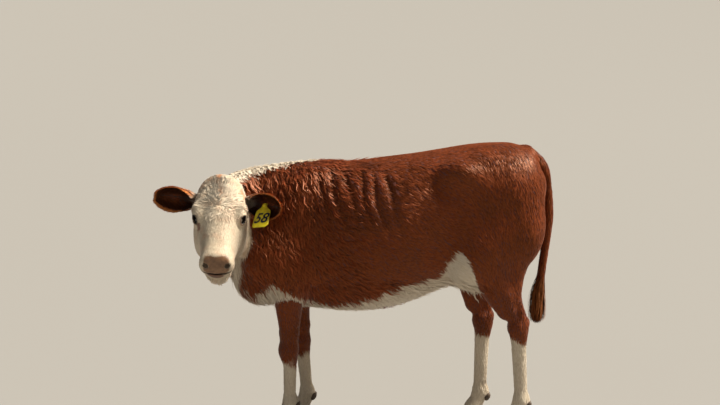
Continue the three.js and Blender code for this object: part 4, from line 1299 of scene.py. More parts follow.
# ---------- locks
# Each kind of lock grows at its own share of places, by where they are and what part they are on.
def neck_lock_share(p, parts):
    """The neck, thinning over the shoulder, but not under the jaw."""
    y, z = p[:, 1], p[:, 2]
    back = smooth(y, -40, -260) * 0.35 + smooth(y, -260, -400) * 0.65
    under_jaw = smooth(parts.off_head, 70, 25) * smooth(z, 900, 840)
    return back * smooth(z, 560, 700) * (1 - parts.head) * (1 - parts.leg) * (1 - under_jaw)


def poll_lock_share(_p, parts):
    """The poll and the forehead."""
    _l, a, n = parts.q.T
    return parts.head * smooth(a, 150, 100) * smooth(n, -120, -50)


def brow_lock_share(_p, parts):
    """The forehead between the eyes."""
    _l, a, n = parts.q.T
    off_eye = np.linalg.norm(paired(parts.q) - EYE, axis=1)
    between = smooth(a, 104, 130) * smooth(a, 200, 160) * smooth(n, -50, -16)
    return parts.head * between * smooth(off_eye, 40, 58)


def crest_lock_share(p, parts):
    """The white crest."""
    return crest_share(p) * (1 - parts.head)


def chin_lock_share(_p, parts):
    """The chin."""
    _l, a, n = parts.q.T
    return parts.head * smooth(n, -104, -124) * smooth(a, 290, 330)


def belly_lock_share(p, parts):
    """The belly, as far back as the udder."""
    return parts.belly * (p[:, 1] < 420)


# Each kind of lock: where it grows, locks to a square centimetre, length, width, height of the
# tip, sideways swing and the pitch of its wave, in mm.
LOCKS = {
    "locks_neck": [(neck_lock_share, 1.4, 46, 4.8, 6.5, 3.6, 46)],
    "locks_head": [
        (poll_lock_share, 3.6, 24, 3.8, 5.0, 2.6, 24),
        (brow_lock_share, 3.4, 18, 2.8, 3.4, 1.8, 22),
        (chin_lock_share, 3.2, 30, 3.2, 9.0, 2.0, 30),
    ],
    "locks_crest": [
        (crest_lock_share, 4.5, 27, 4.4, 6.5, 2.4, 28),
        (belly_lock_share, 0.7, 50, 5.0, 10.0, 3.0, 40),
    ],
}
CREST_PAINTED_LIGHT = 0.3  # painted light: how much paler the crest's white hair is made than other white hair, as if lit from above


def locks_on(ground, kind, rng):
    """All the wavy locks of one kind."""
    grows, per_area, length, width, height, swing, pitch = kind
    root, normal, colours = roots_on(ground, lambda p, parts: grows(p, parts) * per_area, rng)
    count = len(root)
    vary = rng.uniform(0.7, 1.25, count)
    lie = lie_of_coat(root, normal)
    turn = rng.normal(0, 0.08, count) + 0.1 * ripple(root, 50, 51)
    lie = unit(lie + np.cross(normal, lie) * turn[:, None])
    parts = Parts(root)
    phase = curl_phase(root, parts, pitch) + rng.normal(0, 0.3, count)
    ridge = lock_ridge(root) * (1 - parts.head)
    lines, side = combed(
        root, normal, lie, clear_of_eye(root, lie, length * vary),
        height * rng.uniform(0.7, 1.2, count) * (1 + 0.35 * ridge),
        LOCK_STEPS, -np.sign(root[:, 0]) * swing * rng.uniform(0.7, 1.2, count), pitch, phase,
    )
    # Painted shade in the shoulder's furrows, painted highlight along the middle of each lock, and
    # painted light on the crest's top.
    painted_furrow_shade = shoulder_folds(root) / FOLD["deep"]
    tone = 0.55 + 0.14 * rng.normal(size=count) + 0.15 * ripple(root, 60, 53)
    crest_painted_light = CREST_PAINTED_LIGHT * crest_share(root)
    tone = np.clip(tone + 0.25 * ridge - 0.3 * painted_furrow_shade + crest_painted_light, 0, 1)
    on_head = (parts.head > 0.5)[:, None]
    unwrap = np.where(on_head, head_unwrap(root), barrel_unwrap(root))
    return Strands(lines, normal, side, width * vary, LOCK_TAPER, colours, tone, unwrap)


def joined_strands(several):
    """Several sets of strands as one."""
    first = several[0]
    colours = {
        name: np.concatenate([s.colours[name] for s in several]) for name in first.colours
    }
    arrays = [
        np.concatenate([getattr(s, name) for s in several])
        for name in ("lines", "normal", "side", "width")
    ]
    tone = np.concatenate([s.tone for s in several])
    unwrap = np.concatenate([s.unwrap for s in several])
    return Strands(*arrays, first.taper, colours, tone, unwrap)


# ---------- hair of the ears
# Each kind: on the outside, the inside or (None) the rim; how many hairs, their length and
# height, and how far they turn from the cup's middle outwards.
EAR_HAIR = (
    (True, 1600, 14, 2.2, 0.15),
    (False, 1400, 15, 2.2, 0.3),
    (False, 600, 36, 9, -0.75),
    (None, 1400, 19, 3.0, 0.8),
)


def ear_hair(name, rng):
    """Short hair outside, long dark red-brown hair inside the cup, darkened further to near black
    with painted shade, and a bright fringe on the rim.
    """
    ear = Ear(name)
    tile = 0 if name == "left" else 2
    made = []
    for outside, count, length, height, fan in EAR_HAIR:
        s = np.sqrt(rng.uniform(0.0, 0.93, count))
        if outside is None:
            s = rng.uniform(0.12, 0.98, count)
            u = np.sign(rng.uniform(-1, 1, count)) * rng.uniform(0.94, 0.99, count)
        elif fan < 0:
            u = np.sign(rng.uniform(-1, 1, count)) * rng.uniform(0.45, 0.92, count)
            s = rng.uniform(0.08, 0.8, count)
        else:
            u = rng.uniform(-0.95, 0.95, count)
        out = EAR_THICKNESS - COAT_DEPTH["ear"] if outside else COAT_DEPTH["ear"]
        root = ear.at(s, u, np.full(count, float(out)))
        normal, to_tip = ear.frame(s, u, bool(outside))
        sideways = unit(np.cross(normal, to_tip))
        outward_way = unit(ear.at(s, u + 0.02 * np.sign(u)) - ear.at(s, u))
        way = to_tip + outward_way * fan + sideways * rng.normal(0, 0.12, count)[:, None]
        lie = unit(way - (way * normal).sum(1, keepdims=True) * normal)
        room = np.minimum(1, (1.04 - s) * ear.length / length + 0.25)
        lines, side = combed(
            root, normal, lie, length * rng.uniform(0.7, 1.2, count) * room,
            height * rng.uniform(0.6, 1.2, count), TUFT_STEPS, over=None,
        )
        zero = np.zeros(count)
        near_rim = np.maximum(smooth(np.abs(u), 0.8, 0.92), smooth(s, 0.9, 0.97)) * (fan > 0)
        rim = zero + 1 if outside is None else near_rim
        # Painted shade: the hair inside the cup is darkened to near black, less in its middle, as
        # the cup's shade.
        dark = zero + 0.92 - 0.75 * bump_at(s, 0.5, 0.22) * bump_at(u, -0.1, 0.4)
        dark = dark * (1 - near_rim) if outside is False else zero
        at_base = smooth(s, 0.3, 0.08)
        upper = smooth(u * EAR_UP[name], 0.45, 0.85)
        colours = {
            "white": at_base * np.where(outside is False, upper, 0.9),
            "tan": rim * (1 - at_base),
            "dark": dark * (1 - at_base * upper),
            "bare": zero,
        }
        tone = np.clip(0.5 + 0.22 * rng.normal(size=count), 0, 1)
        place = np.stack([(tile + bool(outside) + (u + 1) / 2) / 4, s * 0.96 + 0.02], 1)
        width = 2.0 * rng.uniform(0.8, 1.2, count)
        made.append(Strands(lines, normal, side, width, TUFT_TAPER, colours, tone, place))
    return joined_strands(made)


# ---------- switch
SWITCH_STEPS = np.linspace(0, 1, 9)
SWITCH_TAPER = np.array([0.6, 0.9, 1.0, 1.0, 0.95, 0.85, 0.7, 0.45])
SWITCH_STRANDS = 1150
SWITCH_LOCK = 0.7  # angle from one lock of the switch to the next


def switch_hair(rng):
    """Long hair that leaves the last of the tail and hangs as one wavy brush."""
    count = SWITCH_STRANDS
    last = len(TAIL) - 1
    start = rng.uniform(SWITCH_TOP - 0.6, TAIL_BONE_END, count)
    end = np.minimum(start + rng.uniform(2.0, 5.2, count), last - 1.5 * rng.random(count) ** 1.4)
    angle = rng.uniform(0, 2 * math.pi, count)
    share = np.sqrt(rng.uniform(0.1, 1.0, count)) + 0.3 * rng.random(count) ** 4
    # The hair hangs in a few locks, which draw together towards their ends and part there.
    lock = np.round(angle / SWITCH_LOCK) * SWITCH_LOCK
    drawn = 0.7 * smooth(share, 0.2, 0.7)
    lock_end = 1 + 0.16 * np.sin(lock * 5.3 + 1)
    stray = rng.random(count) ** 5
    phase = 1.5 * np.sin(lock * 2) + rng.normal(0, 0.3, count)
    swing = rng.uniform(3.0, 6.0, count) + 5 * stray
    lines = []
    for step in SWITCH_STEPS:
        t = start + (end - start) * step
        centre, radius = tail_path(t)
        grown = np.minimum(1, 0.35 + 1.6 * step)
        wave = swing * np.sin((t - start) * 3.4 + phase) * step
        at_angle = angle + (lock - angle) * drawn * step
        outward_way = np.stack([np.cos(at_angle), np.sin(at_angle), np.zeros(count)], 1)
        reach = radius * share * grown * (1 + (lock_end - 1) * step) - 1
        turned_way = np.stack([-outward_way[:, 1], outward_way[:, 0], np.zeros(count)], 1)
        lines.append(centre + outward_way * reach[:, None] + turned_way * wave[:, None])
    lines = np.stack(lines, 1)
    way = unit(lines[:, -1] - lines[:, 0])
    normal = unit(outward_way - (outward_way * way).sum(1, keepdims=True) * way)
    zero = np.zeros(count)
    ends = smooth(lines[:, -1, 2], 540, 450)
    outer = smooth(share, 0.7, 1.05)
    colours = {"white": zero, "tan": ends * 0.6 * outer, "dark": 0.88 - 0.3 * outer, "bare": zero}
    tone = np.clip(0.5 + 0.25 * rng.normal(size=count), 0, 1)
    width = rng.uniform(1.6, 3.4, count)
    place = np.stack([angle / (2 * math.pi), 0.45 - (start - 6) / 12], 1)
    return Strands(lines, normal, np.cross(normal, way), width, SWITCH_TAPER, colours, tone, place)


# ---------- making pieces
def frame_shift():
    """From the cow's own millimetres to the model's place: the left eye is the same in both."""
    low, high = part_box("eye_left")
    return np.array((low + high) / 2) - from_head(EYE) * MM


SHIFT = frame_shift()


def to_frame(points):
    """Places in millimetres carried to the model's own, in metres."""
    return np.asarray(points, float) * MM + SHIFT


def new_thing(name, data):
    """An object in the scene."""
    thing = bpy.data.objects.new(name, data)
    bpy.context.scene.collection.objects.link(thing)
    return thing


def placed(name, mesh):
    """A piece of the cow, which all stands still as one body."""
    thing = new_thing(name, mesh)
    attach(thing, "root")
    return thing


def piece_from(name, points, faces, material):
    """A smooth piece of the cow from points in millimetres."""
    mesh = bpy.data.meshes.new(name)
    mesh.from_pydata(to_frame(points).tolist(), [], [tuple(map(int, f)) for f in faces])
    mesh.polygons.foreach_set("use_smooth", np.ones(len(mesh.polygons), bool))
    mesh.materials.append(material)
    return placed(name, mesh)


def ring_faces(rings, count):
    """Faces between each ring of `count` points and the next."""
    return [
        (r * count + i, r * count + (i + 1) % count,
         (r + 1) * count + (i + 1) % count, (r + 1) * count + i)
        for r in range(rings - 1) for i in range(count)
    ]


def rings_mesh(rings, first=None, last=None):
    """A closed form from rings of points, with a point at each end."""
    count = len(rings[0])
    first = rings[0].mean(0) if first is None else first
    last = rings[-1].mean(0) if last is None else last
    points = np.concatenate([*rings, [first], [last]])
    faces = ring_faces(len(rings), count)
    top = (len(rings) - 1) * count
    for i in range(count):
        j = (i + 1) % count
        faces.append((len(points) - 2, j, i))
        faces.append((len(points) - 1, top + i, top + j))
    return points, outward(points, faces)


def joined_forms(forms):
    """Several closed forms as one."""
    points, faces, start = [], [], 0
    for some_points, some_faces in forms:
        points.append(some_points)
        faces += [tuple(i + start for i in f) for f in some_faces]
        start += len(some_points)
    return np.concatenate(points), faces


# ---------- materials
def colour(hex_text):
    """A linear colour from an sRGB hex value."""
    parts = [int(hex_text[i:i + 2], 16) / 255 for i in (1, 3, 5)]
    linear = [c / 12.92 if c <= 0.04045 else ((c + 0.055) / 1.055) ** 2.4 for c in parts]
    return (*linear, 1.0)


def add_node(material, kind, inputs=None, **settings):
    """A node with its settings; an input is another node's output, a hex colour or a number."""
    node = material.node_tree.nodes.new(kind)
    for name, value in settings.items():
        setattr(node, name, value)
    for key, value in (inputs or {}).items():
        if isinstance(value, bpy.types.NodeSocket):
            material.node_tree.links.new(value, node.inputs[key])
        else:
            node.inputs[key].default_value = colour(value) if isinstance(value, str) else value
    return node


def new_material(name, **constants):
    """A principled material with its constant values, its shader and a way to add nodes."""
    material = bpy.data.materials.new(name)
    material.use_nodes = True
    shader = material.node_tree.nodes["Principled BSDF"]
    for key, value in constants.items():
        shader.inputs[key.replace("_", " ")].default_value = value
    return material, shader, partial(add_node, material)


def feed(shader, **outputs):
    """Leads other nodes' outputs into the shader's sockets."""
    for key, value in outputs.items():
        shader.id_data.links.new(value, shader.inputs[key.replace("_", " ")])


# Colours from dark to light, of the red coat and then the white. The hair's third is its worn tips.
HAIR = (("#2a0f09", "#6f2e17", "#a95c34"), ("#b5a58d", "#d8cdb9", "#e3dac9"))
HIDE = (("#431a10", "#6b2d1a"), ("#b8a588", "#dccfb6"))
TAN = ("#a85822", "#e8985a")
# The dark tint: the lids' dark edges, and painted shade in the mouth, the nostrils, on the lower
# lip and inside the ears.
DARK = ("#0d0605", "#2a110b")


def marked_colour(node, red, white, strands):
    """The coat's colour by its marks: red or white hair, tan and dark tints over either; the dark
    tint is partly painted shade.
    """
    share = {
        name: node("ShaderNodeAttribute", attribute_name=name).outputs["Fac"]
        for name in MARKS
    }
    tan, dark = (
        node("ShaderNodeMix", {0: strands, 6: low, 7: high}, data_type="RGBA").outputs[2]
        for low, high in (TAN, DARK)
    )
    base = red
    for name, over in (("white", white), ("tan", tan), ("dark", dark)):
        base = node("ShaderNodeMix", {0: share[name], 6: base, 7: over},
                    data_type="RGBA").outputs[2]
    return base, share


def hair_material():
    """Combed cattle hair: a soft broken shine along each strand, and paler worn tips."""
    material, shader, node = new_material(
        "combed cattle hair", Roughness=0.38, Specular_IOR_Level=0.5,
        Specular_Tint=colour("#ec9c62"), Sheen_Weight=0.12, Sheen_Roughness=0.38,
        Sheen_Tint=colour("#c9805a"),
    )
    # The tone holds each strand's random shade, with painted shade in the furrows and painted
    # highlight on the locks and the crest.
    across, along, tone = (
        node("ShaderNodeAttribute", attribute_name=name).outputs["Fac"]
        for name in ("across", "along", "tone")
    )
    # Each tuft shows five or six finer strands, about 0.7 mm wide, that wander along it.
    wide, apart = (
        node("ShaderNodeMath", {0: value, 1: by}, operation="MULTIPLY").outputs[0]
        for value, by in ((across, 2.6), (tone, 90.0))
    )
    place = node("ShaderNodeCombineXYZ", {0: wide, 1: along, 2: apart}).outputs[0]
    strands = node("ShaderNodeTexNoise",
                   {"Vector": place, "Scale": 1.6, "Detail": 2.0}).outputs["Fac"]
    mixed_tone = node("ShaderNodeMath", {0: tone, 1: strands}, operation="ADD").outputs[0]
    level = node("ShaderNodeMapRange", {0: mixed_tone, 1: 0.55, 2: 1.45}).outputs[0]
    tip = node("ShaderNodeMapRange", {0: along, 1: 0.3, 4: 0.5}).outputs[0]
    kinds = []
    for low, high, worn in HAIR:
        fresh = node("ShaderNodeMix", {0: level, 6: low, 7: high}, data_type="RGBA").outputs[2]
        kinds.append(node("ShaderNodeMix", {0: tip, 6: fresh, 7: worn},
                          data_type="RGBA").outputs[2])
    base, _share = marked_colour(node, *kinds, level)
    bump = node("ShaderNodeBump",
                {"Strength": 0.35, "Distance": 0.0008, "Height": strands}).outputs[0]
    feed(shader, Base_Color=base, Normal=bump)
    return material


def hide_material():
    """Hide under a short coat, with bare pebbled skin on the muzzle and damp edges to the lids."""
    material, shader, node = new_material(
        "cattle hide with lying hair", Specular_IOR_Level=0.4, Sheen_Weight=0.15,
        Sheen_Roughness=0.5,
    )
    nap = node("ShaderNodeAttribute", attribute_name="nap").outputs["Vector"]
    # Lying hair: streaks about 2 mm wide and ten times as long, drawn coarser than single hairs.
    streaks = node("ShaderNodeTexNoise",
                   {"Vector": nap, "Scale": 1.0, "Detail": 3.0}).outputs["Fac"]
    level = node("ShaderNodeMapRange", {0: streaks, 1: 0.3, 2: 0.7}).outputs[0]
    kinds = [
        node("ShaderNodeMix", {0: level, 6: low, 7: high}, data_type="RGBA").outputs[2]
        for low, high in HIDE
    ]
    base, share = marked_colour(node, *kinds, level)
    # The muzzle's skin is a net of small domes about 3 mm across.
    place = node("ShaderNodeTexCoord").outputs["Object"]
    domes = node("ShaderNodeTexVoronoi", {"Vector": place, "Scale": 330.0}).outputs["Distance"]
    mottle = node("ShaderNodeTexNoise",
                  {"Vector": place, "Scale": 90.0, "Detail": 2.0}).outputs["Fac"]
    skin = node("ShaderNodeMix", {0: mottle, 6: "#583c29", 7: "#987250"},
                data_type="RGBA").outputs[2]
    bare = node("ShaderNodeMath", {0: share["bare"], 1: share["dark"]},
                operation="SUBTRACT", use_clamp=True).outputs[0]
    final = node("ShaderNodeMix", {0: bare, 6: base, 7: skin}, data_type="RGBA").outputs[2]
    height = node("ShaderNodeMix", {0: share["bare"], 2: streaks, 3: domes}).outputs[0]
    bump = node("ShaderNodeBump", {"Strength": 0.5, "Distance": 0.001, "Height": height}).outputs[0]
    rough = node("ShaderNodeMapRange", {0: share["bare"], 3: 0.62, 4: 0.38}).outputs[0]
    feed(shader, Base_Color=final, Roughness=rough, Normal=bump)
    return material


def eye_material():
    """A wet eye: nearly black pupil and deep brown iris under a clear glossy coat."""
    material, shader, node = new_material(
        "wet eye", Roughness=0.25, Coat_Weight=1.0, Coat_Roughness=0.02, Coat_IOR=1.38,
    )
    ring = node("ShaderNodeAttribute", attribute_name="ring").outputs["Fac"]
    ramp = node("ShaderNodeValToRGB", {0: ring})
    stops = ((0.0, "#020202"), (0.33, "#040303"), (0.38, "#1d0f08"), (0.72, "#2a160c"),
             (0.8, "#0d0705"), (0.88, "#8f7a68"), (1.0, "#c8b4a2"))
    while len(ramp.color_ramp.elements) < len(stops):
        ramp.color_ramp.elements.new(0.5)
    for element, (position, shade) in zip(ramp.color_ramp.elements, stops):
        element.position = position
        element.color = colour(shade)
    feed(shader, Base_Color=ramp.outputs[0])
    return material


def horn_material():
    """Claw horn: dull grey-brown keratin with faint growth bands about 4 mm apart."""
    material, shader, node = new_material("claw horn", Specular_IOR_Level=0.45)
    place = node("ShaderNodeTexCoord").outputs["Object"]
    height = node("ShaderNodeSeparateXYZ", {0: place}).outputs[2]
    bands = node("ShaderNodeMath", {0: height, 1: 250.0}, operation="MULTIPLY").outputs[0]
    wander = node("ShaderNodeTexNoise",
                  {"Vector": place, "Scale": 40.0, "Detail": 4.0}).outputs["Fac"]
    phase = node("ShaderNodeMath", {0: wander, 1: 1.4, 2: bands},
                 operation="MULTIPLY_ADD").outputs[0]
    stripe = node("ShaderNodeMath", {0: phase}, operation="FRACT").outputs[0]
    level = node("ShaderNodeMath", {0: stripe, 1: wander}, operation="MULTIPLY").outputs[0]
    base = node("ShaderNodeMix", {0: level, 6: "#43362b", 7: "#7a6856"},
                data_type="RGBA").outputs[2]
    rough = node("ShaderNodeMapRange", {0: wander, 3: 0.42, 4: 0.68}).outputs[0]
    feed(shader, Base_Color=base, Roughness=rough)
    return material


def tag_material():
    """Moulded polyurethane: yellow plastic with a dull shine, browner and duller under dust."""
    material, shader, node = new_material(
        "moulded yellow polyurethane", Specular_IOR_Level=0.5, Subsurface_Weight=0.06,
    )
    place = node("ShaderNodeTexCoord").outputs["Object"]
    grime = node("ShaderNodeTexNoise",
                 {"Vector": place, "Scale": 60.0, "Detail": 4.0}).outputs["Fac"]
    share = node("ShaderNodeMapRange", {0: grime, 1: 0.45, 2: 0.75}).outputs[0]
    base = node("ShaderNodeMix", {0: share, 6: "#e6d021", 7: "#b89a22"},
                data_type="RGBA").outputs[2]
    rough = node("ShaderNodeMapRange", {0: grime, 3: 0.34, 4: 0.55}).outputs[0]
    feed(shader, Base_Color=base, Roughness=rough)
    return material


def even_material(name, shade, roughness):
    """A material of one colour and roughness all over."""
    material, shader, _node = new_material(name, Roughness=roughness)
    shader.inputs["Base Color"].default_value = colour(shade)
    return material


def ink_material():
    """Marking ink: flat blue-black, standing just proud of the plastic."""
    return even_material("blue-black marking ink", "#10142b", 0.5)


def floor_material():
    """Matt floor paint: even and pale, with no shine."""
    return even_material("pale matt floor paint", "#8f8e8b", 0.9)


# ---------- eyes
IRIS_RADIUS = 14.2
PUPIL = (6.2, 3.6)  # half width along the lids' long way, and across it
CORNEA_RISE = 2.2
EYE_INSET = 0.6  # how much smaller the ball is than the eye's own size


def eyeball(name, side, material):
    """A ball whose pole looks along the gaze, with a low cornea over the iris."""
    flip = np.array([side, 1, 1])
    slit, lift, gaze = EYE_AXES * flip
    polar = np.concatenate([np.linspace(0.02, 0.9, 30), np.linspace(0.98, math.pi - 0.06, 18)])
    turn = np.linspace(0, 2 * math.pi, 56, endpoint=False)
    iris_angle = math.asin(IRIS_RADIUS / EYE_RADIUS)
    rings, shares = [], []
    for angle in polar:
        bulge = CORNEA_RISE * (1 - smooth(np.array(angle), 0.35, iris_angle))
        radius = EYE_RADIUS + bulge - EYE_INSET
        x = radius * math.sin(angle) * np.cos(turn)
        y = radius * math.sin(angle) * np.sin(turn)
        z = np.full_like(turn, radius * math.cos(angle))
        q = EYE * flip + x[:, None] * slit + y[:, None] * lift + z[:, None] * gaze
        rings.append(from_head(q))
        # The share runs to 0.32 over the pupil, from 0.36 to 0.8 over the iris, and on behind it.
        pupil = np.hypot(x / PUPIL[0], y / PUPIL[1])
        beyond = np.clip((angle - 0.2) / (iris_angle - 0.2), 0, 2)
        shares.append(np.where(pupil < 1, 0.32 * pupil, 0.36 + 0.44 * np.minimum(beyond, 1.25)))
    points, faces = rings_mesh(rings)
    made = piece_from(name, points, faces, material)
    ring = np.concatenate([*shares, [0.0], [1.0]])
    keep_shares(made.data, {"ring": np.clip(ring, 0, 1)})
    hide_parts(name)


# ---------- claws
CLAW = {"length": 98, "width": 45, "toe": 66, "heel": 40, "cleft": 5, "forward": 6}
CLAW_TAPER = {"width": 0.14, "length": 0.24, "lean": 0.2, "sole": 0.05}
CLAW_OUTER = 0.62  # share of a claw's width that is on its outer side
CLAW_BLUNT = 0.86  # the heel's reach as a share of the toe's
CLAW_RIDGES = {"count": 5.5, "deep": 0.004}  # growth rings up the wall
CORONET = ((0.93, 3.0), (0.74, 6.0), (0.4, 8.0))  # the claw's rounded top: size and rise
CLAW_ROUND = 28
CLAW_LEVELS = 22
DEWCLAW = {"radii": (10, 10, 17), "tilt": -0.5, "height": 122, "spread": 17, "back": 34}
# Each kind of foot: out from the middle, along the body, and the dewclaws' extra reach back.
FOOT = {"foreleg": (121, -408, 26), "hindleg": (109, 478, 30)}


def claw_form(foot, outward_side):
    """A flat sole and a wall with growth rings that leans back toward the coronet."""
    turn = (np.arange(CLAW_ROUND) + 0.5) / CLAW_ROUND * 2 * math.pi
    c, s = np.cos(turn), np.sin(turn)
    outer, inner = CLAW["width"] * CLAW_OUTER, CLAW["width"] * (1 - CLAW_OUTER)
    rings = []
    for level in np.linspace(0, 1, CLAW_LEVELS):
        ridge = math.sin(level * 2 * math.pi * CLAW_RIDGES["count"])
        ridge = CLAW_RIDGES["deep"] * ridge * (1 - 0.4 * level)
        sole = CLAW_TAPER["sole"] * max(0, 1 - level * 14)
        squeeze = 1 - CLAW_TAPER["width"] * level + ridge - sole
        half = np.where(outward_side * c > 0, outer, inner)
        x = outward_side * (CLAW["cleft"] / 2 + inner) + c * half * squeeze
        front = np.where(s < 0, 1, CLAW_BLUNT)
        y = (-0.06 + level * CLAW_TAPER["lean"]) * CLAW["length"] - CLAW["forward"]
        y = y + s * CLAW["length"] * 0.5 * front * (1 - CLAW_TAPER["length"] * level + ridge)
        z = level * (CLAW["heel"] + (CLAW["toe"] - CLAW["heel"]) * (1 - s) / 2)
        rings.append(foot + np.stack([x, y, z], 1))
    coronet = rings[-1]
    for share, rise in CORONET:
        middle = coronet.mean(0)
        rings.append(middle + (coronet - middle) * [share, share, 1] + [0, 0, rise])
    return rings_mesh(rings)


def dewclaw_form(foot, outward_side, set_back):
    """A small tilted egg of horn behind the fetlock, with growth rings."""
    turn = np.linspace(0, 2 * math.pi, 16, endpoint=False)
    tilt = DEWCLAW["tilt"]
    rings = []
    for angle in np.linspace(0.15, math.pi - 0.15, 10):
        ridge = 1 + 0.03 * math.sin(angle * 14)
        x = DEWCLAW["radii"][0] * math.sin(angle) * np.cos(turn) * ridge
        y = DEWCLAW["radii"][1] * math.sin(angle) * np.sin(turn) * ridge
        z = np.full_like(turn, DEWCLAW["radii"][2] * math.cos(angle))
        lean_y = y * math.cos(tilt) - z * math.sin(tilt)
        lean_z = y * math.sin(tilt) + z * math.cos(tilt)
        at = (foot[0] + outward_side * DEWCLAW["spread"], foot[1] + DEWCLAW["back"] + set_back)
        rings.append(np.stack([at[0] + x, at[1] + lean_y, DEWCLAW["height"] + lean_z], 1))
    return rings_mesh(rings)


def claws(material):
    """Two claws and two dewclaws on every foot."""
    forms, nodes = [], []
    for kind, (across, forward, set_back) in FOOT.items():
        for name, side in (("left", LEFT), ("right", RIGHT)):
            foot = np.array([side * across, forward + STANCE[kind][side], 0.0])
            for place, outward_side in (("outer", side), ("inner", -side)):
                forms.append(claw_form(foot, outward_side))
                forms.append(dewclaw_form(foot, outward_side, set_back))
                nodes += [f"claw_{kind}_{name}_{place}", f"dewclaw_{kind}_{name}_{place}"]
    made = piece_from("claws", *joined_forms(forms), material)
    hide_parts(*nodes)


# ---------- ear tag
TAG = {"width": 66, "shoulder": 60, "height": 114, "neck": 20, "neck_height": 35, "chamfer": 12,
       "thick": 2.4}
TAG_PLACE = (0.53, 0.14)  # its pin on the ear: from base to tip, and from rim to rim
TAG_SWING = 12  # degrees that it hangs aside
TAG_CLEAR = 12  # how far its panel stays in front of the ear's rim
TAG_STAND_OFF = 14.2  # from the ear's inside to the panel's back at the pin
TAG_BEND = {"across": 260, "down": 1300}  # radii that the panel is bowed to
BUTTON = {"pin": 3.2, "disc": 14, "thick": 3, "cap": 8, "behind": 9}
TAG_NUMBER = "58"
# The digits: height, width as a share of the type's, where their middle is on the panel,
# relief, and how far their backs are sunk.
NUMBER = {"height": 49, "narrow": 0.82, "middle": (1, -63), "relief": 0.45, "sunk": 0.25}


class TagPlace:
    """Where the tag hangs: its pin, and the directions down, out of the ear and to its side."""

    def __init__(self):
        ear = Ear("left")
        s, u = (np.array([value]) for value in TAG_PLACE)
        self.pin = ear.at(s, u)[0]
        rim = ear.at(s, np.array([1.0]))[0] + ear.front * (TAG["thick"] + TAG_CLEAR)
        down = rim - self.pin
        self.down = unit(down - (down @ ear.along) * ear.along)
        self.out = unit(np.cross(self.down, ear.along))
        if self.out @ ear.front < 0:
            self.out = -self.out
        swing = math.radians(TAG_SWING)
        self.down = math.cos(swing) * self.down + math.sin(swing) * np.cross(self.out, self.down)
        self.side = np.cross(self.out, self.down)

    def at(self, x, y, out):
        """Points of the bowed panel from flat ones: x to its side, y up, out from its back."""
        bow = np.asarray(x) ** 2 / (2 * TAG_BEND["across"])
        bow = bow + np.where(y < 0, np.asarray(y) ** 2, 0) / (2 * TAG_BEND["down"])
        return (
            self.pin
            + np.multiply.outer(x, self.side)
            - np.multiply.outer(y, self.down)
            + np.multiply.outer(TAG_STAND_OFF + out - bow, self.out)
        )


def tag_outline():
    """Half widths to the left and right of the panel, from its top down."""
    top = TAG["neck"] * 0.4
    low = top - TAG["height"]
    neck = TAG["neck"] / 2
    wide = TAG["width"] / 2
    left = [
        (top, neck - 4), (top - 1.2, neck - 1.5), (top - 4, neck), (top - 14, neck + 0.8),
        (top - 20, neck + 3), (top - TAG["neck_height"] + 2, TAG["shoulder"] / 2 - 3),
        (top - TAG["neck_height"], TAG["shoulder"] / 2 - 0.6),
        (top - TAG["neck_height"] - 3, TAG["shoulder"] / 2 + 0.3),
    ]
    right = list(left)
    for side, cut_off in ((left, TAG["chamfer"] / 2), (right, TAG["chamfer"])):
        side.extend([
            (low + cut_off + 2, wide), (low + cut_off, wide - 0.6),
            (low + 0.8, wide - cut_off + 1), (low, wide - cut_off - 2),
        ])
    return np.array(left), np.array(right)


def tag_panel(place):
    """The bowed plastic panel with a rounded edge."""
    left, right = tag_outline()
    even = np.linspace(left[-1, 0], left[0, 0], 26)
    rows = np.unique(np.concatenate([left[:, 0], right[:, 0], even]))
    rings = []
    for y in rows[::-1]:
        half_left = np.interp(-y, -left[:, 0], left[:, 1])
        half_right = np.interp(-y, -right[:, 0], right[:, 1])
        end = y in (rows[0], rows[-1])
        x = np.linspace(-half_left, half_right, 15)
        inset = 0.5 if end else 0.0
        front = place.at(x[1:-1], y, TAG["thick"] - inset)
        back = place.at(x[::-1][1:-1], y, inset)
        depths = np.array([TAG["thick"] - inset, TAG["thick"] / 2, inset])
        right_edge = place.at(x[-1] - np.array([0.35, 0, 0.35]), y, depths)
        left_edge = place.at(x[0] + np.array([0.35, 0, 0.35]), y, depths[::-1])
        rings.append(np.concatenate([front, right_edge, back, left_edge]))
    return rings_mesh(rings)


def lathe(place, profile, count=32):
    """A round form about the pin from (radius, distance out) pairs."""
    turn = np.linspace(0, 2 * math.pi, count, endpoint=False)
    circle = np.multiply.outer(np.cos(turn), place.side)
    circle = circle + np.multiply.outer(np.sin(turn), place.down)
    rings = [place.pin + circle * r + place.out * out for r, out in profile]
    start, end = (place.pin + place.out * profile[k][1] for k in (0, -1))
    return rings_mesh(rings, start, end)


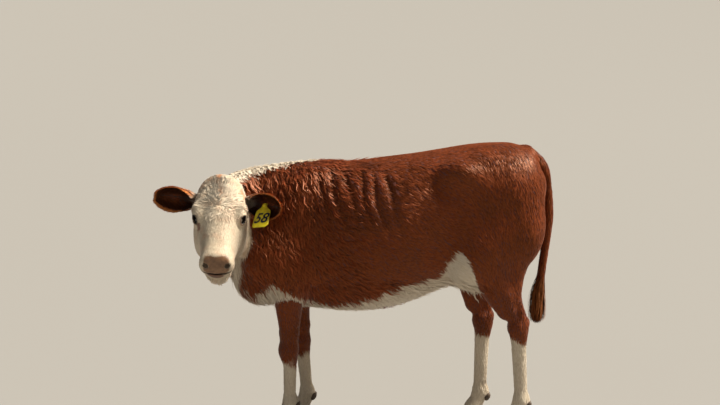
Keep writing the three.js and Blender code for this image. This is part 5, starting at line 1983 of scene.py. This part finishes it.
def tag_number(place, material):
    """The tag's digits, slanted and low on the panel."""
    curve = bpy.data.curves.new("number", "FONT")
    curve.body = TAG_NUMBER
    curve.align_x = "CENTER"
    curve.align_y = "CENTER"
    curve.size = 58
    curve.shear = 0.3
    curve.extrude = NUMBER["relief"]
    curve.bevel_depth = 1.3
    thing = new_thing("number", curve)
    bpy.context.view_layer.update()
    solid = thing.evaluated_get(bpy.context.evaluated_depsgraph_get())
    mesh = bpy.data.meshes.new_from_object(solid)
    bpy.data.objects.remove(thing)
    flat = vertex_places(mesh)
    flat[:, :2] -= (flat[:, :2].max(0) + flat[:, :2].min(0)) / 2
    flat[:, :2] *= NUMBER["height"] / np.ptp(flat[:, 1])
    flat[:, 0] *= NUMBER["narrow"]
    flat[:, 2] *= NUMBER["relief"] / flat[:, 2].max()
    out = flat[:, 2] + TAG["thick"] - NUMBER["sunk"]
    x, y = flat[:, :2].T + np.array(NUMBER["middle"])[:, None]
    points = place.at(x, y, out)
    mesh.vertices.foreach_set("co", to_frame(points).ravel())
    mesh.materials.clear()
    mesh.materials.append(material)
    number = placed("tag_number", mesh)


def ear_tag(plastic, ink):
    """The panel with the boss round its hole, the stud through the ear, and the digits."""
    place = TagPlace()
    front = TAG_STAND_OFF + TAG["thick"]
    boss = lathe(place, [
        (6.4, front - 1.5), (7.6, front - 0.6), (7.4, front + 0.9), (6.6, front + 1.4),
        (4.6, front + 1.4),
    ])
    panel = piece_from("tag_panel", *joined_forms([tag_panel(place), boss]), plastic)
    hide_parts("ear_tag")
    behind = -(EAR_THICKNESS + BUTTON["behind"])
    disc, pin, cap = BUTTON["disc"], BUTTON["pin"], BUTTON["cap"]
    button = piece_from("button", *lathe(place, [
        (disc - 2, behind - BUTTON["thick"]), (disc - 0.6, behind - BUTTON["thick"] + 0.5),
        (disc, behind - 1.2), (disc - 0.5, behind), (pin, behind), (pin, front + 0.4),
        (cap - 1, front + 0.6), (cap - 0.4, front + 1.4), (cap - 1.4, front + 2.8), (2, front + 4),
    ]), plastic)
    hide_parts("tag_button")
    tag_number(place, ink)


# ---------- the hide and its coat
FLESH = [
    "trunk", "neck", "head", "ear_left", "ear_right", "tail", "tail_switch",
    *(f"{kind}_{side}_{half}" for kind in ("foreleg", "hindleg")
      for side in ("left", "right") for half in ("upper", "lower")),
]
STREAK = (0.5, 0.05)  # streaks to a millimetre across and along the lying hair


def nap_of(p):
    """Places stretched along the lie of the hair, so that noise on them draws streaks."""
    way = np.array([0.1, 0.8, -0.6])
    on_leg = smooth(p[:, 2], 640, 480)[:, None]
    on_head = smooth(off_head(p), 20, 6)[:, None]
    down = np.array([0.0, 0.0, -1.0])
    nose = HEAD_AXES[1]
    stretched = []
    for axis in (way, down, nose):
        axis = unit(axis)
        run = (p @ axis)[:, None] * axis
        stretched.append((p - run) * STREAK[0] + run * STREAK[1])
    body = stretched[0] * (1 - on_leg) + stretched[1] * on_leg
    return body * (1 - on_head) + stretched[2] * on_head


def hide(mesh, places, material):
    """The one skin: the body with both ears joined to it."""
    faces = [tuple(polygon.vertices) for polygon in mesh.polygons]
    shares = {name: [share] for name, share in markings(places).items()}
    parts = [places]
    start = len(places)
    for name in EARS:
        points, ear_faces, share = ear_sheet(name)
        faces += [tuple(i + start for i in f) for f in ear_faces]
        start += len(points)
        parts.append(points)
        s, inside = share.T
        at_base = smooth(s, 0.3, 0.08)
        shares["white"].append(at_base * 0.6)
        shares["tan"].append(0.4 * (1 - inside) * (1 - at_base))
        # Painted shade: the ear's inner skin is darkened as the cup's shade.
        shares["dark"].append(0.9 * inside * (1 - 0.5 * at_base))
        shares["bare"].append(np.zeros(len(points)))
    points = np.concatenate(parts)
    made = piece_from("hide", points, faces, material)
    keep_shares(made.data, {name: np.concatenate(values) for name, values in shares.items()})
    layer = made.data.attributes.new("nap", "FLOAT_VECTOR", "POINT")
    layer.data.foreach_set("vector", nap_of(points).astype(np.float32).ravel())
    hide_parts(*FLESH)


def coat(ground, material):
    """Every piece of hair: the short coat, the locks, the ears' hair and the switch."""
    rng = np.random.default_rng(SEED)
    strands = tufts_on(ground, rng)
    for name, kinds in LOCKS.items():
        strands[name] = joined_strands([locks_on(ground, kind, rng) for kind in kinds])
    strands["coat_ears"] = joined_strands([ear_hair(name, rng) for name in EARS])
    strands["switch_hair"] = switch_hair(rng)
    slots = dict.fromkeys(("coat_head", "locks_head", "locks_crest"), "white_coat")
    slots |= {"coat_ears": "ear_hair", "switch_hair": "switch_hair"}
    for name, some in strands.items():
        made = strand_piece(name, some, material)


# ---------- stage
COVE = {"flat": 22, "slope": 50, "rise": 8}  # the floor's flat radius and rising rim, in metres
KEY_WAY = (0.1, -0.75, -1.0)  # which way the key light shines: down, and toward the head
CAMERA = {"at": (10, -0.118, 1.72), "aim": (0, -0.118, 0.909), "lens": 127.4}


def turn_to(thing, way):
    """Turns a lamp or the camera to face along `way`."""
    thing.rotation_mode = "QUATERNION"
    thing.rotation_quaternion = Vector(way).to_track_quat("-Z", "Y")


def area_light(name, at, towards, size, watts, shade):
    """A round soft light aimed at a place."""
    light = bpy.data.lights.new(name, "AREA")
    light.shape = "DISK"
    light.size = size
    light.energy = watts
    light.color = colour(shade)[:3]
    lamp = new_thing(name, light)
    lamp.location = at
    turn_to(lamp, Vector(towards) - Vector(at))


def studio_floor():
    """A pale floor that rises far off like a dish, so that it is the background too."""
    turn = np.linspace(0, 2 * math.pi, 72, endpoint=False)
    rim = np.stack([np.cos(turn), np.sin(turn), 0 * turn], 1)
    rings = [
        rim * (COVE["flat"] + COVE["slope"] * share) + [0, 0, COVE["rise"] * share ** 2]
        for share in np.linspace(0, 1, 24)
    ]
    points = np.concatenate([*rings, [[0, 0, 0]]])
    around, middle = len(turn), len(points) - 1
    faces = ring_faces(len(rings), around)
    faces += [((i + 1) % around, i, middle) for i in range(around)]
    mesh = bpy.data.meshes.new("floor")
    mesh.from_pydata(points.tolist(), [], faces)
    mesh.polygons.foreach_set("use_smooth", np.ones(len(faces), bool))
    mesh.materials.append(floor_material())
    new_thing("floor", mesh)


def studio_light():
    """A large soft light from over the tail, a weaker one before the face, and dim air around."""
    world = bpy.data.worlds.new("studio air")
    world.use_nodes = True
    background = world.node_tree.nodes["Background"]
    background.inputs[0].default_value = colour("#dfe4e8")
    background.inputs[1].default_value = 0.12
    bpy.context.scene.view_settings.view_transform = "Standard"
    bpy.context.scene.world = world
    sun = bpy.data.lights.new("silk over the key lamp", "SUN")
    sun.energy = 8.0
    sun.angle = math.radians(18)
    sun.color = colour("#fff5e6")[:3]
    turn_to(new_thing("silk over the key lamp", sun), KEY_WAY)
    area_light("front softbox", (5.5, -3.2, 2.8), (0, -0.1, 0.7), 3.0, 20, "#f2f6ff")


def camera():
    """A long lens off the cow's left side, a little higher than its back."""
    view = bpy.data.cameras.new("camera")
    view.lens = CAMERA["lens"]
    view.sensor_width = 36
    thing = new_thing("camera", view)
    thing.location = Vector(CAMERA["at"]) + Vector(SHIFT)
    turn_to(thing, Vector(CAMERA["aim"]) + Vector(SHIFT) - thing.location)
    bpy.context.scene.camera = thing


# ---------- the whole model
def corners(box):
    """A box's two corners as plain lists."""
    return [list(corner) for corner in box]


hair = hair_material()
body, body_places, body_normals = body_mesh()
hide(body, body_places, hide_material())
coat(Ground(body, body_places, body_normals), hair)
wet_eye = eye_material()
eyeball("eye_left", LEFT, wet_eye)
eyeball("eye_right", RIGHT, wet_eye)
claws(horn_material())
ear_tag(tag_material(), ink_material())
studio_floor()
studio_light()
camera()
